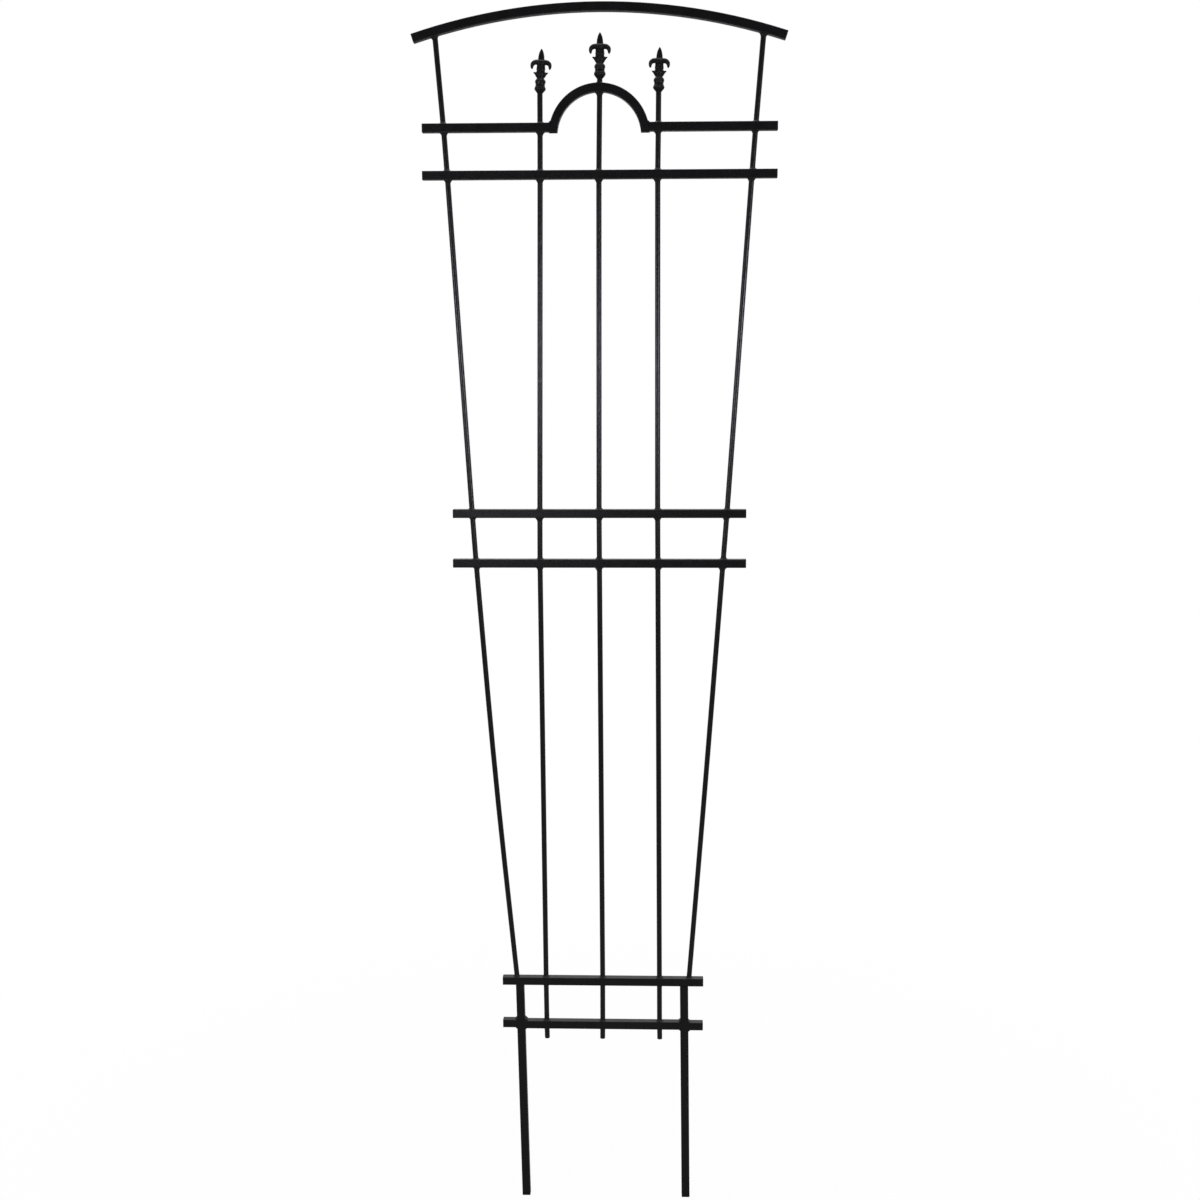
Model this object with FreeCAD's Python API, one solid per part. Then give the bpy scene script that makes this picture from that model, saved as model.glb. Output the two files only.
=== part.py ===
"""Metal trellis arch: square tube rails and stakes, round rods and cast finials, all welded.

The arch stands in the XZ plane: +X runs to the right along the rails, +Y from the front to
the back, and +Z up. The origin is midway between the stakes, level with their cut ends, on
the middle plane of the rails. All lengths are in millimetres and all angles in degrees.
"""
import FreeCAD, Part
import math
import os

V = FreeCAD.Vector
ACROSS = V(0, 1, 0)

# ---------------------------------------------------------------- stock
TUBE = 12.7                # outside of the square steel tube (1/2 in)
WALL = 1.2                 # its wall
CORNER = 1.3               # its outside corner radius
INNER_CORNER = 0.5         # its inside corner radius
ROD = 7.9                  # round steel rod (5/16 in)
HOLE_GAP = 0.15            # room round a rod in a punched hole or a finial's bore

# ---------------------------------------------------------------- arch and hoop
HEIGHT = 1829.0            # cut ends of the stakes to the crown of the top arch (6 ft)
ARCH_RADIUS = 885.0        # outside of the top arch
ARCH_HALF_ANGLE = 17.65    # from its crown to a cut end, plug included
HOOP_RADIUS = 72.7         # outside of the hoop
HOOP_CENTRE_Z = 1646.3
HOOP_FOOT_Z = 1650.7       # its feet are cut level, a little under the short rails

# ---------------------------------------------------------------- rails
RAIL_Z = {                 # middle of each rail
    "upper": 1658.0,
    "shoulder": 1592.0,
    "middle_upper": 1101.5,
    "middle_lower": 1026.5,
    "bottom_upper": 363.7,
    "bottom_lower": 291.2,
}
RAIL_HALF = {              # half of each rail's length, plugs included
    "upper": 255.3,
    "shoulder": 256.0,
    "middle_upper": 219.0,
    "middle_lower": 219.9,
    "bottom_upper": 157.5,
    "bottom_lower": 157.7,
}
RAIL_SHIFT = {             # how far each rail was set off centre when it was welded
    "upper": 0.3,
    "shoulder": 0.0,
    "middle_upper": -1.7,
    "middle_lower": -1.9,
    "bottom_upper": 1.8,
    "bottom_lower": 1.6,
}
STUB_LIFT = {"left": 1.5, "right": -0.6}   # the stubs are welded on a little out of line

# ---------------------------------------------------------------- rods and stakes
# Bent and welded by hand, so no two rods cross the rails at quite the same places.
PICKET_X = {               # at the six rails in turn, then at the foot
    "left": (-85.0, -85.5, -90.5, -91.0, -87.6, -87.0, -86.5),
    "center": (0.2, -0.6, -1.9, -1.6, 1.5, 1.4, 1.2),
    "right": (84.9, 84.2, 85.6, 86.2, 90.7, 91.1, 91.5),
}
PICKET_FOOT_Z = 267.5
SIDE_ROD_X = {             # under the arch, then at the first five rails in turn
    "left": (-234.0, -224.2, -220.0, -192.0, -187.4, -132.9),
    "right": (233.7, 224.2, 219.7, 188.9, 183.7, 136.7),
}
SIDE_ROD_BOW = {"left": -3.4, "right": 0.8}   # how far its long lower span bows outwards
ROD_IN_TUBE = 4.0          # how far a side rod's top goes into the arch
BEND_REACH = 5.0           # how far a bend inside a rail reaches along the rod
BOW_REACH = 140.0          # the same for the long gentle bow
STAKE_X = {"left": (-122.2, -128.7), "right": (133.9, 129.3)}   # at the foot, at the top

# ---------------------------------------------------------------- finials
FINIAL_BASE = {            # x and z of the narrow end
    "left": (-84.8, 1705.5),
    "center": (1.0, 1725.0),
    "right": (85.1, 1706.3),
}
FINIAL_TILT = {"left": 3.0, "center": 0.5, "right": 1.4}        # towards +X
FINIAL_SIZE = {"left": 0.965, "center": 1.0, "right": 0.965}    # the outer two are a little smaller
FINIAL_BORE = 18.0         # depth of the blind bore over the picket's top
FINIAL_TIP = 63.1          # narrow end to the tip
SPEAR_FLATTEN = 0.72       # front to back over left to right
# Turned stem as (radius, height): even rows are corners, odd rows the middle of an arc.
STEM = ((4.8, 0.0), (6.3, 1.9), (7.6, 3.8), (8.6, 6.2), (7.4, 9.0), (6.95, 11.0), (7.2, 13.4),
        (7.95, 16.4), (6.4, 19.4), (5.45, 21.3), (6.0, 23.2), (7.0, 26.0), (7.0, 29.4),
        (6.35, 31.6), (6.45, 34.0), (6.3, 37.5), (5.9, 41.0), (5.2, 44.2), (4.0, 47.0))
SPEAR = ((4.9, 44.0), (4.0, 54.5), (0.0, FINIAL_TIP))
# Petals and leaves on the +X side, as (x, height, radius) along each one, then the tip.
PETAL = ((3.0, 43.0, 4.1), (6.5, 43.8, 3.8), (9.6, 43.3, 3.65), (12.4, 41.2, 3.2),
         (13.2, 38.2, 2.5), (13.1, 35.8, 1.7), (12.9, 33.9, 0.6))
LEAF = ((4.2, 25.8, 3.4), (7.0, 27.4, 2.3), (9.0, 28.4, 1.3), (10.7, 29.1, 0.4))
BOSS = (3.2, 4.2, 43.4)    # radius, distance out from the middle plane, height

# ---------------------------------------------------------------- plugs
PLUG_FLANGE = 1.6
PLUG_EDGE = 0.6            # round on the flange's outer edge
PLUG_SPIGOT = 9.0
PLUG_GAP = 0.1             # between the spigot and the tube, each side

# ---------------------------------------------------------------- welds
COLLAR_ABOVE = (2.0, 2.6)  # round a rod on a rail: how far out, how far up the rod
COLLAR_BELOW = (2.6, 4.4)  # the same under a rail, where the weld ran more
WELD_INSET = 0.5           # a weld stops this far inside the tube's front and back faces
WELD_SINK = 3.0            # a weld is drawn this deep into its neighbours, then cut back
SEAM_TURN = 45.0           # turns a collar's seam line clear of the tube's corners
BEAD_LEG = 2.8             # legs of the bead in the corner of a butt joint
FAT_BEAD_LEG = 5.4         # the same for the one heavy bead, over the lowest rail at the left stake
BEAD_HOLLOW = 0.38         # how far its face stands off the corner, over the leg

# ---------------------------------------------------------------- worked out from them
HALF_TUBE = TUBE / 2
BORE_OF_TUBE = TUBE - 2 * WALL
ARCH_CENTRE_Z = HEIGHT - ARCH_RADIUS
ARCH_TUBE_ANGLE = ARCH_HALF_ANGLE - math.degrees(PLUG_FLANGE / (ARCH_RADIUS - HALF_TUBE))
STAKE_TOP_Z = RAIL_Z["bottom_upper"] - HALF_TUBE
RAILS = list(RAIL_Z)
SIGN = {"left": -1, "right": 1}


def save(name, solids):
    """Write the solids of one node to its own STEP file."""
    shape = solids[0] if len(solids) == 1 else Part.makeCompound(solids)
    shape.exportStep("parts/" + name + ".step")


# ---------------------------------------------------------------- square tube
def rounded_square(side, radius):
    """Closed wire of a square with round corners in the YZ plane, centred on the origin."""
    half = side / 2
    flat = half - radius
    mid = flat + radius * math.sqrt(0.5)
    edges = []
    for quarter in range(4):
        turn = FreeCAD.Rotation(V(1, 0, 0), 90 * quarter)
        points = [V(0, half, -flat), V(0, half, flat), V(0, mid, mid), V(0, flat, half)]
        start, end, middle, after = [turn.multVec(point) for point in points]
        edges.append(Part.LineSegment(start, end).toShape())
        edges.append(Part.Arc(end, middle, after).toShape())
    return Part.Wire(edges)


def tube_face(filled=False):
    """Cross-section of the tube in the YZ plane; filled leaves its hollow out."""
    outline = rounded_square(TUBE, CORNER)
    if filled:
        return Part.Face(outline)
    return Part.Face(outline).cut(Part.Face(rounded_square(BORE_OF_TUBE, INNER_CORNER))).Faces[0]


def straight_tube(x_start, x_end, z, filled=False):
    """Tube along X between two ends."""
    face = tube_face(filled)
    face.translate(V(x_start, 0, z))
    return face.extrude(V(x_end - x_start, 0, 0))


def bent_tube(radius, centre_z, half_angle, filled=False):
    """Tube bent about (0, centre_z) to an arc of that outside radius."""
    centre = V(0, 0, centre_z)
    face = tube_face(filled)
    face.translate(V(0, 0, centre_z + radius - HALF_TUBE))
    face.rotate(centre, ACROSS, -half_angle)
    return face.revolve(centre, ACROSS, 2 * half_angle)


def arch(filled=False):
    """The top arch, without its plugs."""
    return bent_tube(ARCH_RADIUS, ARCH_CENTRE_Z, ARCH_TUBE_ANGLE, filled)


def hoop(filled=False):
    """Half ring with its feet cut level."""
    reach = 2 * HOOP_RADIUS
    below = Part.makeBox(2 * reach, reach, reach, V(-reach, -reach / 2, HOOP_FOOT_Z - reach))
    return bent_tube(HOOP_RADIUS, HOOP_CENTRE_Z, 90, filled).cut(below).Solids[0]


def hoop_disc():
    """Everything inside the hoop's outside radius, to cope the short rails' inner ends."""
    return Part.makeCylinder(HOOP_RADIUS, 2 * TUBE, V(0, -TUBE, HOOP_CENTRE_Z), ACROSS)


def stake_x(side, z):
    """X of a stake's centre line at a height."""
    foot, top = STAKE_X[side]
    return foot + (top - foot) * z / STAKE_TOP_Z


def stake(side, filled=False):
    """Leaning stake, cut level at its foot and under the upper bottom rail."""
    foot, top = STAKE_X[side]
    face = tube_face(filled)
    face.rotate(V(0, 0, 0), ACROSS, 90)
    face.translate(V(0, 0, -TUBE))
    tube = face.extrude(V(0, 0, STAKE_TOP_Z + 2 * TUBE))
    tube.rotate(V(0, 0, 0), ACROSS, math.degrees(math.atan2(top - foot, STAKE_TOP_Z)))
    tube.translate(V(foot, 0, 0))
    slab = Part.makeBox(4 * TUBE, 2 * TUBE, STAKE_TOP_Z, V(foot - 2 * TUBE, -TUBE, 0))
    return tube.common(slab).Solids[0]


def tube_end(name, side):
    """Where a rail's tube ends, under its plug's flange."""
    return RAIL_SHIFT[name] + SIGN[side] * (RAIL_HALF[name] - PLUG_FLANGE)


def full_rail(name, filled=False):
    """A rail in one length, between its two plugs."""
    return straight_tube(tube_end(name, "left"), tube_end(name, "right"), RAIL_Z[name], filled)


def upper_rail(side, filled=False):
    """Short rail from its plug to the hoop."""
    outer = tube_end("upper", side)
    inner = SIGN[side] * (HOOP_RADIUS - TUBE)
    tube = straight_tube(min(outer, inner), max(outer, inner), RAIL_Z["upper"], filled)
    return tube.cut(hoop_disc()).Solids[0]


def bottom_lower_rail(filled=False):
    """Middle length of the lowest rail, between the stakes."""
    z = RAIL_Z["bottom_lower"]
    bar = straight_tube(stake_x("left", z), stake_x("right", z), z, filled)
    return bar.cut(stake("left", True)).cut(stake("right", True)).Solids[0]


def bottom_stub(side, filled=False):
    """Short end of the lowest rail, outside a stake."""
    z = RAIL_Z["bottom_lower"] + STUB_LIFT[side]
    outer = tube_end("bottom_lower", side)
    inner = stake_x(side, z)
    bar = straight_tube(min(outer, inner), max(outer, inner), z, filled)
    return bar.cut(stake(side, True)).Solids[0]


# ---------------------------------------------------------------- round rods
def rod_path(points, reaches):
    """Wire through the points, each inner corner rounded by an arc of that reach each way."""
    edges = []
    start = points[0]
    for before, corner, after, reach in zip(points, points[1:], points[2:], reaches):
        back = (before - corner).normalize()
        on = (after - corner).normalize()
        turn = back.getAngle(on * -1)
        crown = corner + (back + on).normalize() * (reach * math.tan(turn / 4))
        edges.append(Part.LineSegment(start, corner + back * reach).toShape())
        edges.append(Part.Arc(corner + back * reach, crown, corner + on * reach).toShape())
        start = corner + on * reach
    edges.append(Part.LineSegment(start, points[-1]).toShape())
    return Part.Wire(edges)


def round_rod(points, reaches):
    """Round rod along the path."""
    start = Part.Circle(points[0], points[1] - points[0], ROD / 2).toShape()
    rod = rod_path(points, reaches).makePipeShell([Part.Wire(start)], True, False)
    return rod if rod.ShapeType == "Solid" else rod.Solids[0]


def finial_axis(side):
    """Unit vector up the middle of a finial."""
    return FreeCAD.Rotation(ACROSS, FINIAL_TILT[side]).multVec(V(0, 0, 1))


def picket_points(side):
    """Corners of a picket from inside its finial down to its foot."""
    x_base, z_base = FINIAL_BASE[side]
    base = V(x_base, 0, z_base)
    heights = list(RAIL_Z.values()) + [PICKET_FOOT_Z]
    crossings = [V(x, 0, z) for x, z in zip(PICKET_X[side], heights)]
    return [base + finial_axis(side) * FINIAL_BORE, base] + crossings


def side_rod_points(side):
    """Corners of a side rod from inside the arch down into the upper bottom rail."""
    x_top = SIDE_ROD_X[side][0]
    z_top = ARCH_CENTRE_Z + math.sqrt((ARCH_RADIUS - TUBE) ** 2 - x_top ** 2)
    heights = list(RAIL_Z.values())[:5]
    crossings = [V(x, 0, z) for x, z in zip(SIDE_ROD_X[side][1:], heights)]
    under_arch = V(x_top, 0, z_top)
    top = under_arch + (under_arch - crossings[0]).normalize() * ROD_IN_TUBE
    middle = (crossings[3] + crossings[4]) * 0.5 + V(SIDE_ROD_BOW[side], 0, 0)
    return [top] + crossings[:4] + [middle] + crossings[4:]


def picket(side):
    """Upright rod, from inside its finial to its foot."""
    points = picket_points(side)
    return round_rod(points, [BEND_REACH] * (len(points) - 2))


def side_rod(side):
    """Leaning rod at the edge of the arch."""
    return round_rod(side_rod_points(side), [BEND_REACH] * 4 + [BOW_REACH])


# ---------------------------------------------------------------- where rods meet tubes
def crossings(rail):
    """Every rod at a rail, as (point, unit vector up or None, unit vector down or None)."""
    index = RAILS.index(rail)
    found = []
    for side in PICKET_X:
        if rail == "upper" and side == "center":
            continue
        points = picket_points(side)
        above, point, below = points[index + 1:index + 4]
        found.append((point, (above - point).normalize(), (below - point).normalize()))
    for side in SIGN:
        points = side_rod_points(side)
        if rail == "bottom_upper":
            found.append((points[-1], (points[-2] - points[-1]).normalize(), None))
        elif rail != "bottom_lower":
            above, point, below = points[index:index + 3]
            found.append((point, (above - point).normalize(), (below - point).normalize()))
    return found


def arch_crossings():
    """The side rods' tops, where they go up into the arch."""
    return [(points[0], None, (points[1] - points[0]).normalize())
            for points in map(side_rod_points, SIGN)]


def hoop_crossing():
    """The centre picket where it goes through the hoop's crown."""
    above, below = picket_points("center")[1:3]
    down = (below - above).normalize()
    return (above + down * (above.z - HOOP_CENTRE_Z - HOOP_RADIUS + HALF_TUBE), down * -1, down)


def punch(tube, meetings):
    """Cut the rods' holes in a tube."""
    for point, up, down in meetings:
        for way in (up, down):
            if way is not None:
                tube = tube.cut(Part.makeCylinder(ROD / 2 + HOLE_GAP, TUBE, point, way))
    return tube.Solids[0]


# ---------------------------------------------------------------- finials
def stem():
    """Turned lower part of a finial, standing on the origin."""
    points = [V(radius, 0, z) for radius, z in STEM]
    edges = [Part.Arc(*points[i:i + 3]).toShape() for i in range(0, len(points) - 1, 2)]
    top, foot = V(0, 0, STEM[-1][1]), V(0, 0, 0)
    edges.append(Part.LineSegment(points[-1], top).toShape())
    edges.append(Part.LineSegment(top, foot).toShape())
    edges.append(Part.LineSegment(foot, points[0]).toShape())
    return Part.Face(Part.Wire(edges)).revolve(foot, V(0, 0, 1), 360)


def spear():
    """Pointed blade above the petals, flattened front to back."""
    base, middle, tip = [V(radius, 0, z) for radius, z in SPEAR]
    axis_foot = V(0, 0, base.z)
    edges = [Part.Arc(base, middle, tip).toShape(), Part.LineSegment(tip, axis_foot).toShape(),
             Part.LineSegment(axis_foot, base).toShape()]
    blade = Part.Face(Part.Wire(edges)).revolve(axis_foot, V(0, 0, 1), 360)
    flatten = FreeCAD.Matrix()
    flatten.scale(1, SPEAR_FLATTEN, 1)
    return blade.transformGeometry(flatten)


def curl(stations, sign):
    """Tapering limb through round stations given as (x, height, radius)."""
    centres = [V(sign * x, 0, z) for x, z, _ in stations]
    rings = []
    for i, (_, _, radius) in enumerate(stations):
        along = centres[min(i + 1, len(centres) - 1)] - centres[max(i - 1, 0)]
        rings.append(Part.Wire(Part.Circle(centres[i], along, radius).toShape()))
    return Part.makeLoft(rings, True, False)


def finial(side):
    """Cast fleur-de-lis with a blind bore over the top of a picket."""
    radius, out, height = BOSS
    limbs = [curl(stations, sign) for stations in (PETAL, LEAF) for sign in (-1, 1)]
    bosses = [Part.makeSphere(radius, V(0, sign * out, height)) for sign in (-1, 1)]
    casting = stem().fuse([spear()] + limbs + bosses)
    casting.scale(FINIAL_SIZE[side])
    casting = casting.cut(Part.makeCylinder(ROD / 2 + HOLE_GAP, FINIAL_BORE, V(0, 0, 0)))
    x_base, z_base = FINIAL_BASE[side]
    casting.rotate(V(0, 0, 0), ACROSS, FINIAL_TILT[side])
    casting.translate(V(x_base, 0, z_base))
    return casting.Solids[0]


# ---------------------------------------------------------------- plugs
def plug():
    """Push-in plug for a tube's end, pointing along +X, its flange's inner face at x = 0."""
    outline = Part.Face(rounded_square(TUBE, CORNER))
    flange = outline.extrude(V(PLUG_FLANGE, 0, 0))
    rim = [edge for edge in flange.Edges if edge.BoundBox.XMin > PLUG_FLANGE - 0.01]
    flange = flange.makeFillet(PLUG_EDGE, rim)
    spigot = Part.Face(rounded_square(BORE_OF_TUBE - 2 * PLUG_GAP, INNER_CORNER))
    return flange.fuse(spigot.extrude(V(-PLUG_SPIGOT, 0, 0))).Solids[0]


def rail_plugs():
    """The plug at every outer end of the arch and the rails."""
    plugs = []
    for side, sign in SIGN.items():
        facing = 0 if sign > 0 else 180
        for name in RAILS:
            z = RAIL_Z[name] + (STUB_LIFT[side] if name == "bottom_lower" else 0)
            end = plug()
            end.rotate(V(0, 0, 0), V(0, 0, 1), facing)
            end.translate(V(tube_end(name, side), 0, z))
            plugs.append(end)
        end = plug()
        end.rotate(V(0, 0, 0), V(0, 0, 1), facing)
        end.translate(V(0, 0, HEIGHT - HALF_TUBE))
        end.rotate(V(0, 0, ARCH_CENTRE_Z), ACROSS, sign * ARCH_TUBE_ANGLE)
        plugs.append(end)
    return plugs


# ---------------------------------------------------------------- welds
def trim(weld, neighbours):
    """Cut a weld back to its neighbours' surfaces and in from the front and back faces."""
    width = TUBE - 2 * WELD_INSET
    box = weld.BoundBox
    slab = Part.makeBox(box.XLength, width, box.ZLength, V(box.XMin, -width / 2, box.ZMin))
    weld = weld.common(slab)
    for neighbour in neighbours:
        weld = weld.cut(neighbour)
    return weld.Solids


def collar(point, way, size, tube):
    """Weld round a rod where it comes out of a tube's face, HALF_TUBE along from the point."""
    out, along = size
    face = point + way * HALF_TUBE
    skirt = Part.makeCylinder(ROD / 2 + out, WELD_SINK, face - way * WELD_SINK, way)
    cone = Part.makeCone(ROD / 2 + out, ROD / 2, along, face, way)
    lump = skirt.fuse(cone)
    rod = Part.makeCylinder(ROD / 2, 2 * TUBE, point, way)
    for shape in (lump, rod):
        shape.rotate(point, way, SEAM_TURN)
    return trim(lump, [rod, tube])


def collars(meetings, tube):
    """Welds above and below a tube, round every rod that meets it."""
    welds = []
    for point, up, down in meetings:
        for way, size in ((up, COLLAR_ABOVE), (down, COLLAR_BELOW)):
            if way is not None:
                welds.extend(collar(point, way, size, tube))
    return welds


def bead(x, z, way_x, way_z, neighbours, leg=BEAD_LEG):
    """Weld in a corner at (x, z) that opens towards way_x and way_z, across the tube."""
    def at(legs_x, legs_z):
        return V(x + way_x * legs_x, -HALF_TUBE, z + way_z * legs_z)

    corners = [at(leg, 0), at(leg, -WELD_SINK), at(-WELD_SINK, -WELD_SINK),
               at(-WELD_SINK, leg), at(0, leg)]
    edges = [Part.LineSegment(a, b).toShape() for a, b in zip(corners, corners[1:])]
    middle = at(leg * BEAD_HOLLOW, leg * BEAD_HOLLOW)
    edges.append(Part.Arc(corners[-1], middle, corners[0]).toShape())
    prism = Part.Face(Part.Wire(edges)).extrude(V(0, TUBE, 0))
    return trim(prism, neighbours)


def hoop_welds():
    """Collars at the crown, and a bead on top of each short rail beside the hoop."""
    welds = collars([hoop_crossing()], hoop(True))
    z = RAIL_Z["upper"] + HALF_TUBE
    x = math.sqrt(HOOP_RADIUS ** 2 - (z - HOOP_CENTRE_Z) ** 2)
    for side, sign in SIGN.items():
        welds.extend(bead(sign * x, z, sign, 1, [hoop_disc(), upper_rail(side, True)]))
    return welds


def stake_beads(rail, ways_z):
    """Beads on both sides of both stakes, under or over a bottom rail."""
    welds = []
    for side, sign in SIGN.items():
        for way_x in (-1, 1):
            stub = rail == "bottom_lower" and way_x == sign
            bar = bottom_stub(side, True) if stub else full_rail(rail, True)
            middle = RAIL_Z[rail] + (STUB_LIFT[side] if stub else 0)
            for way_z in ways_z:
                z = middle + way_z * HALF_TUBE
                x = stake_x(side, z) + way_x * HALF_TUBE
                heavy = (rail, side, way_x, way_z) == ("bottom_lower", "left", 1, 1)
                leg = FAT_BEAD_LEG if heavy else BEAD_LEG
                welds.extend(bead(x, z, way_x, way_z, [stake(side, True), bar], leg))
    return welds


# ---------------------------------------------------------------- the nodes
def save_tubes():
    """Arch, hoop, rails and stakes."""
    save("top_arch_rail", [punch(arch(), arch_crossings())])
    save("hoop", [punch(hoop(), [hoop_crossing()])])
    for side in SIGN:
        save("upper_rail_" + side, [punch(upper_rail(side), crossings("upper"))])
        save("bottom_stub_" + side, [bottom_stub(side)])
        save(side + "_stake", [stake(side)])
    save("bottom_rail_lower", [punch(bottom_lower_rail(), crossings("bottom_lower"))])
    for node, rail in (("shoulder_rail", "shoulder"), ("middle_rail_upper", "middle_upper"),
                       ("middle_rail_lower", "middle_lower"),
                       ("bottom_rail_upper", "bottom_upper")):
        save(node, [punch(full_rail(rail), crossings(rail))])
    save("rail_end_plugs", rail_plugs())


def save_rods():
    """Pickets, finials and side rods."""
    for side in PICKET_X:
        save(side + "_picket", [picket(side)])
        save(side + "_finial", [finial(side)])
    for side in SIGN:
        save(side + "_side_rod", [side_rod(side)])


def save_welds():
    """One node of welds for each tube that the rods meet."""
    save("arch_welds", collars(arch_crossings(), arch(True)))
    save("hoop_welds", hoop_welds())
    for rail in RAILS:
        welds = collars(crossings(rail), full_rail(rail, True))
        if rail == "bottom_upper":
            welds.extend(stake_beads(rail, (-1,)))
        if rail == "bottom_lower":
            welds.extend(stake_beads(rail, (-1, 1)))
        save(rail + "_rail_welds", welds)


os.makedirs("parts", exist_ok=True)
save_tubes()
save_rods()
save_welds()
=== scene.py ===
"""A black metal trellis arch: square-tube rails, round bars, cast spear finials and their welds.

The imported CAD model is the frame. The tubes and end plugs keep their CAD shapes and get
their finishes here; the bars, the welds and the finials are built here in full detail.
"""
from __future__ import annotations

import logging
import math
import random
from dataclasses import dataclass, field
from enum import Enum
from typing import Iterable, Sequence

import bmesh
import bpy
from mathutils import Matrix, Vector, noise
from mathutils.bvhtree import BVHTree


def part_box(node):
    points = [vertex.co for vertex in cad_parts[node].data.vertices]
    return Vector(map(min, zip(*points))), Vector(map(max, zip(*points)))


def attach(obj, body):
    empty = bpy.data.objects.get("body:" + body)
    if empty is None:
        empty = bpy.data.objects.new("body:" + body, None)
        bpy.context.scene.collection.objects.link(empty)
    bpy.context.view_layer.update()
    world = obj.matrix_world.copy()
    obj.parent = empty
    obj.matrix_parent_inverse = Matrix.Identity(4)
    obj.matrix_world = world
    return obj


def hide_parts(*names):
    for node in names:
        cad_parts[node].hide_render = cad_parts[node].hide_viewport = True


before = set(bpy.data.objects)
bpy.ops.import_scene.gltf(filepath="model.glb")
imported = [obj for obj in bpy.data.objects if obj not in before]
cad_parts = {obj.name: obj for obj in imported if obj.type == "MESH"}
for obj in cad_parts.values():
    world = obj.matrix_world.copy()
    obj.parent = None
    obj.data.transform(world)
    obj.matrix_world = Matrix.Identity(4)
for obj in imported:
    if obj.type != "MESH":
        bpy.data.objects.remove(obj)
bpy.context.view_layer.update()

MM = 0.001
BODY = "root"
ACROSS = Vector((0.0, 1.0, 0.0))
HALF_TUBE = 6.35 * MM

log = logging.getLogger("trellis")

Colour = tuple[float, float, float, float]


def grey(level: float, warmth: float = 0.0) -> Colour:
    """A linear grey, a little red for a positive warmth and a little blue for a negative one."""
    return (level * (1 + warmth), level, level * (1 - warmth), 1.0)


# ------------------------------------------------------------------ node trees
class Value:
    """One output of a node, which works in sums like a plain number or vector."""

    def __init__(self, graph: Graph, socket: bpy.types.NodeSocket) -> None:
        """Stands for one output socket of the graph."""
        self.graph, self.socket = graph, socket
        self.is_vector = socket.type == "VECTOR"

    def _sum(self, operation: str, first: Feed, second: Feed) -> Value:
        """The result of one sum, which is a vector where this value is one."""
        kind = self.graph.vector if self.is_vector else self.graph.math
        return kind(operation, first, second)

    def __add__(self, other: Feed) -> Value:
        """This plus the other."""
        return self._sum("ADD", self, other)

    def __sub__(self, other: Feed) -> Value:
        """This less the other."""
        return self._sum("SUBTRACT", self, other)

    def __rsub__(self, other: Feed) -> Value:
        """The other less this."""
        return self._sum("SUBTRACT", other, self)

    def __mul__(self, other: Feed) -> Value:
        """This times a number."""
        return self._sum("SCALE" if self.is_vector else "MULTIPLY", self, other)

    def __truediv__(self, other: Feed) -> Value:
        """This divided by a number."""
        return self._sum("DIVIDE", self, other)

    def __rtruediv__(self, other: Feed) -> Value:
        """A number divided by this."""
        return self._sum("DIVIDE", other, self)


Feed = Value | float | int | Sequence[float] | bpy.types.Material | None


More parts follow.
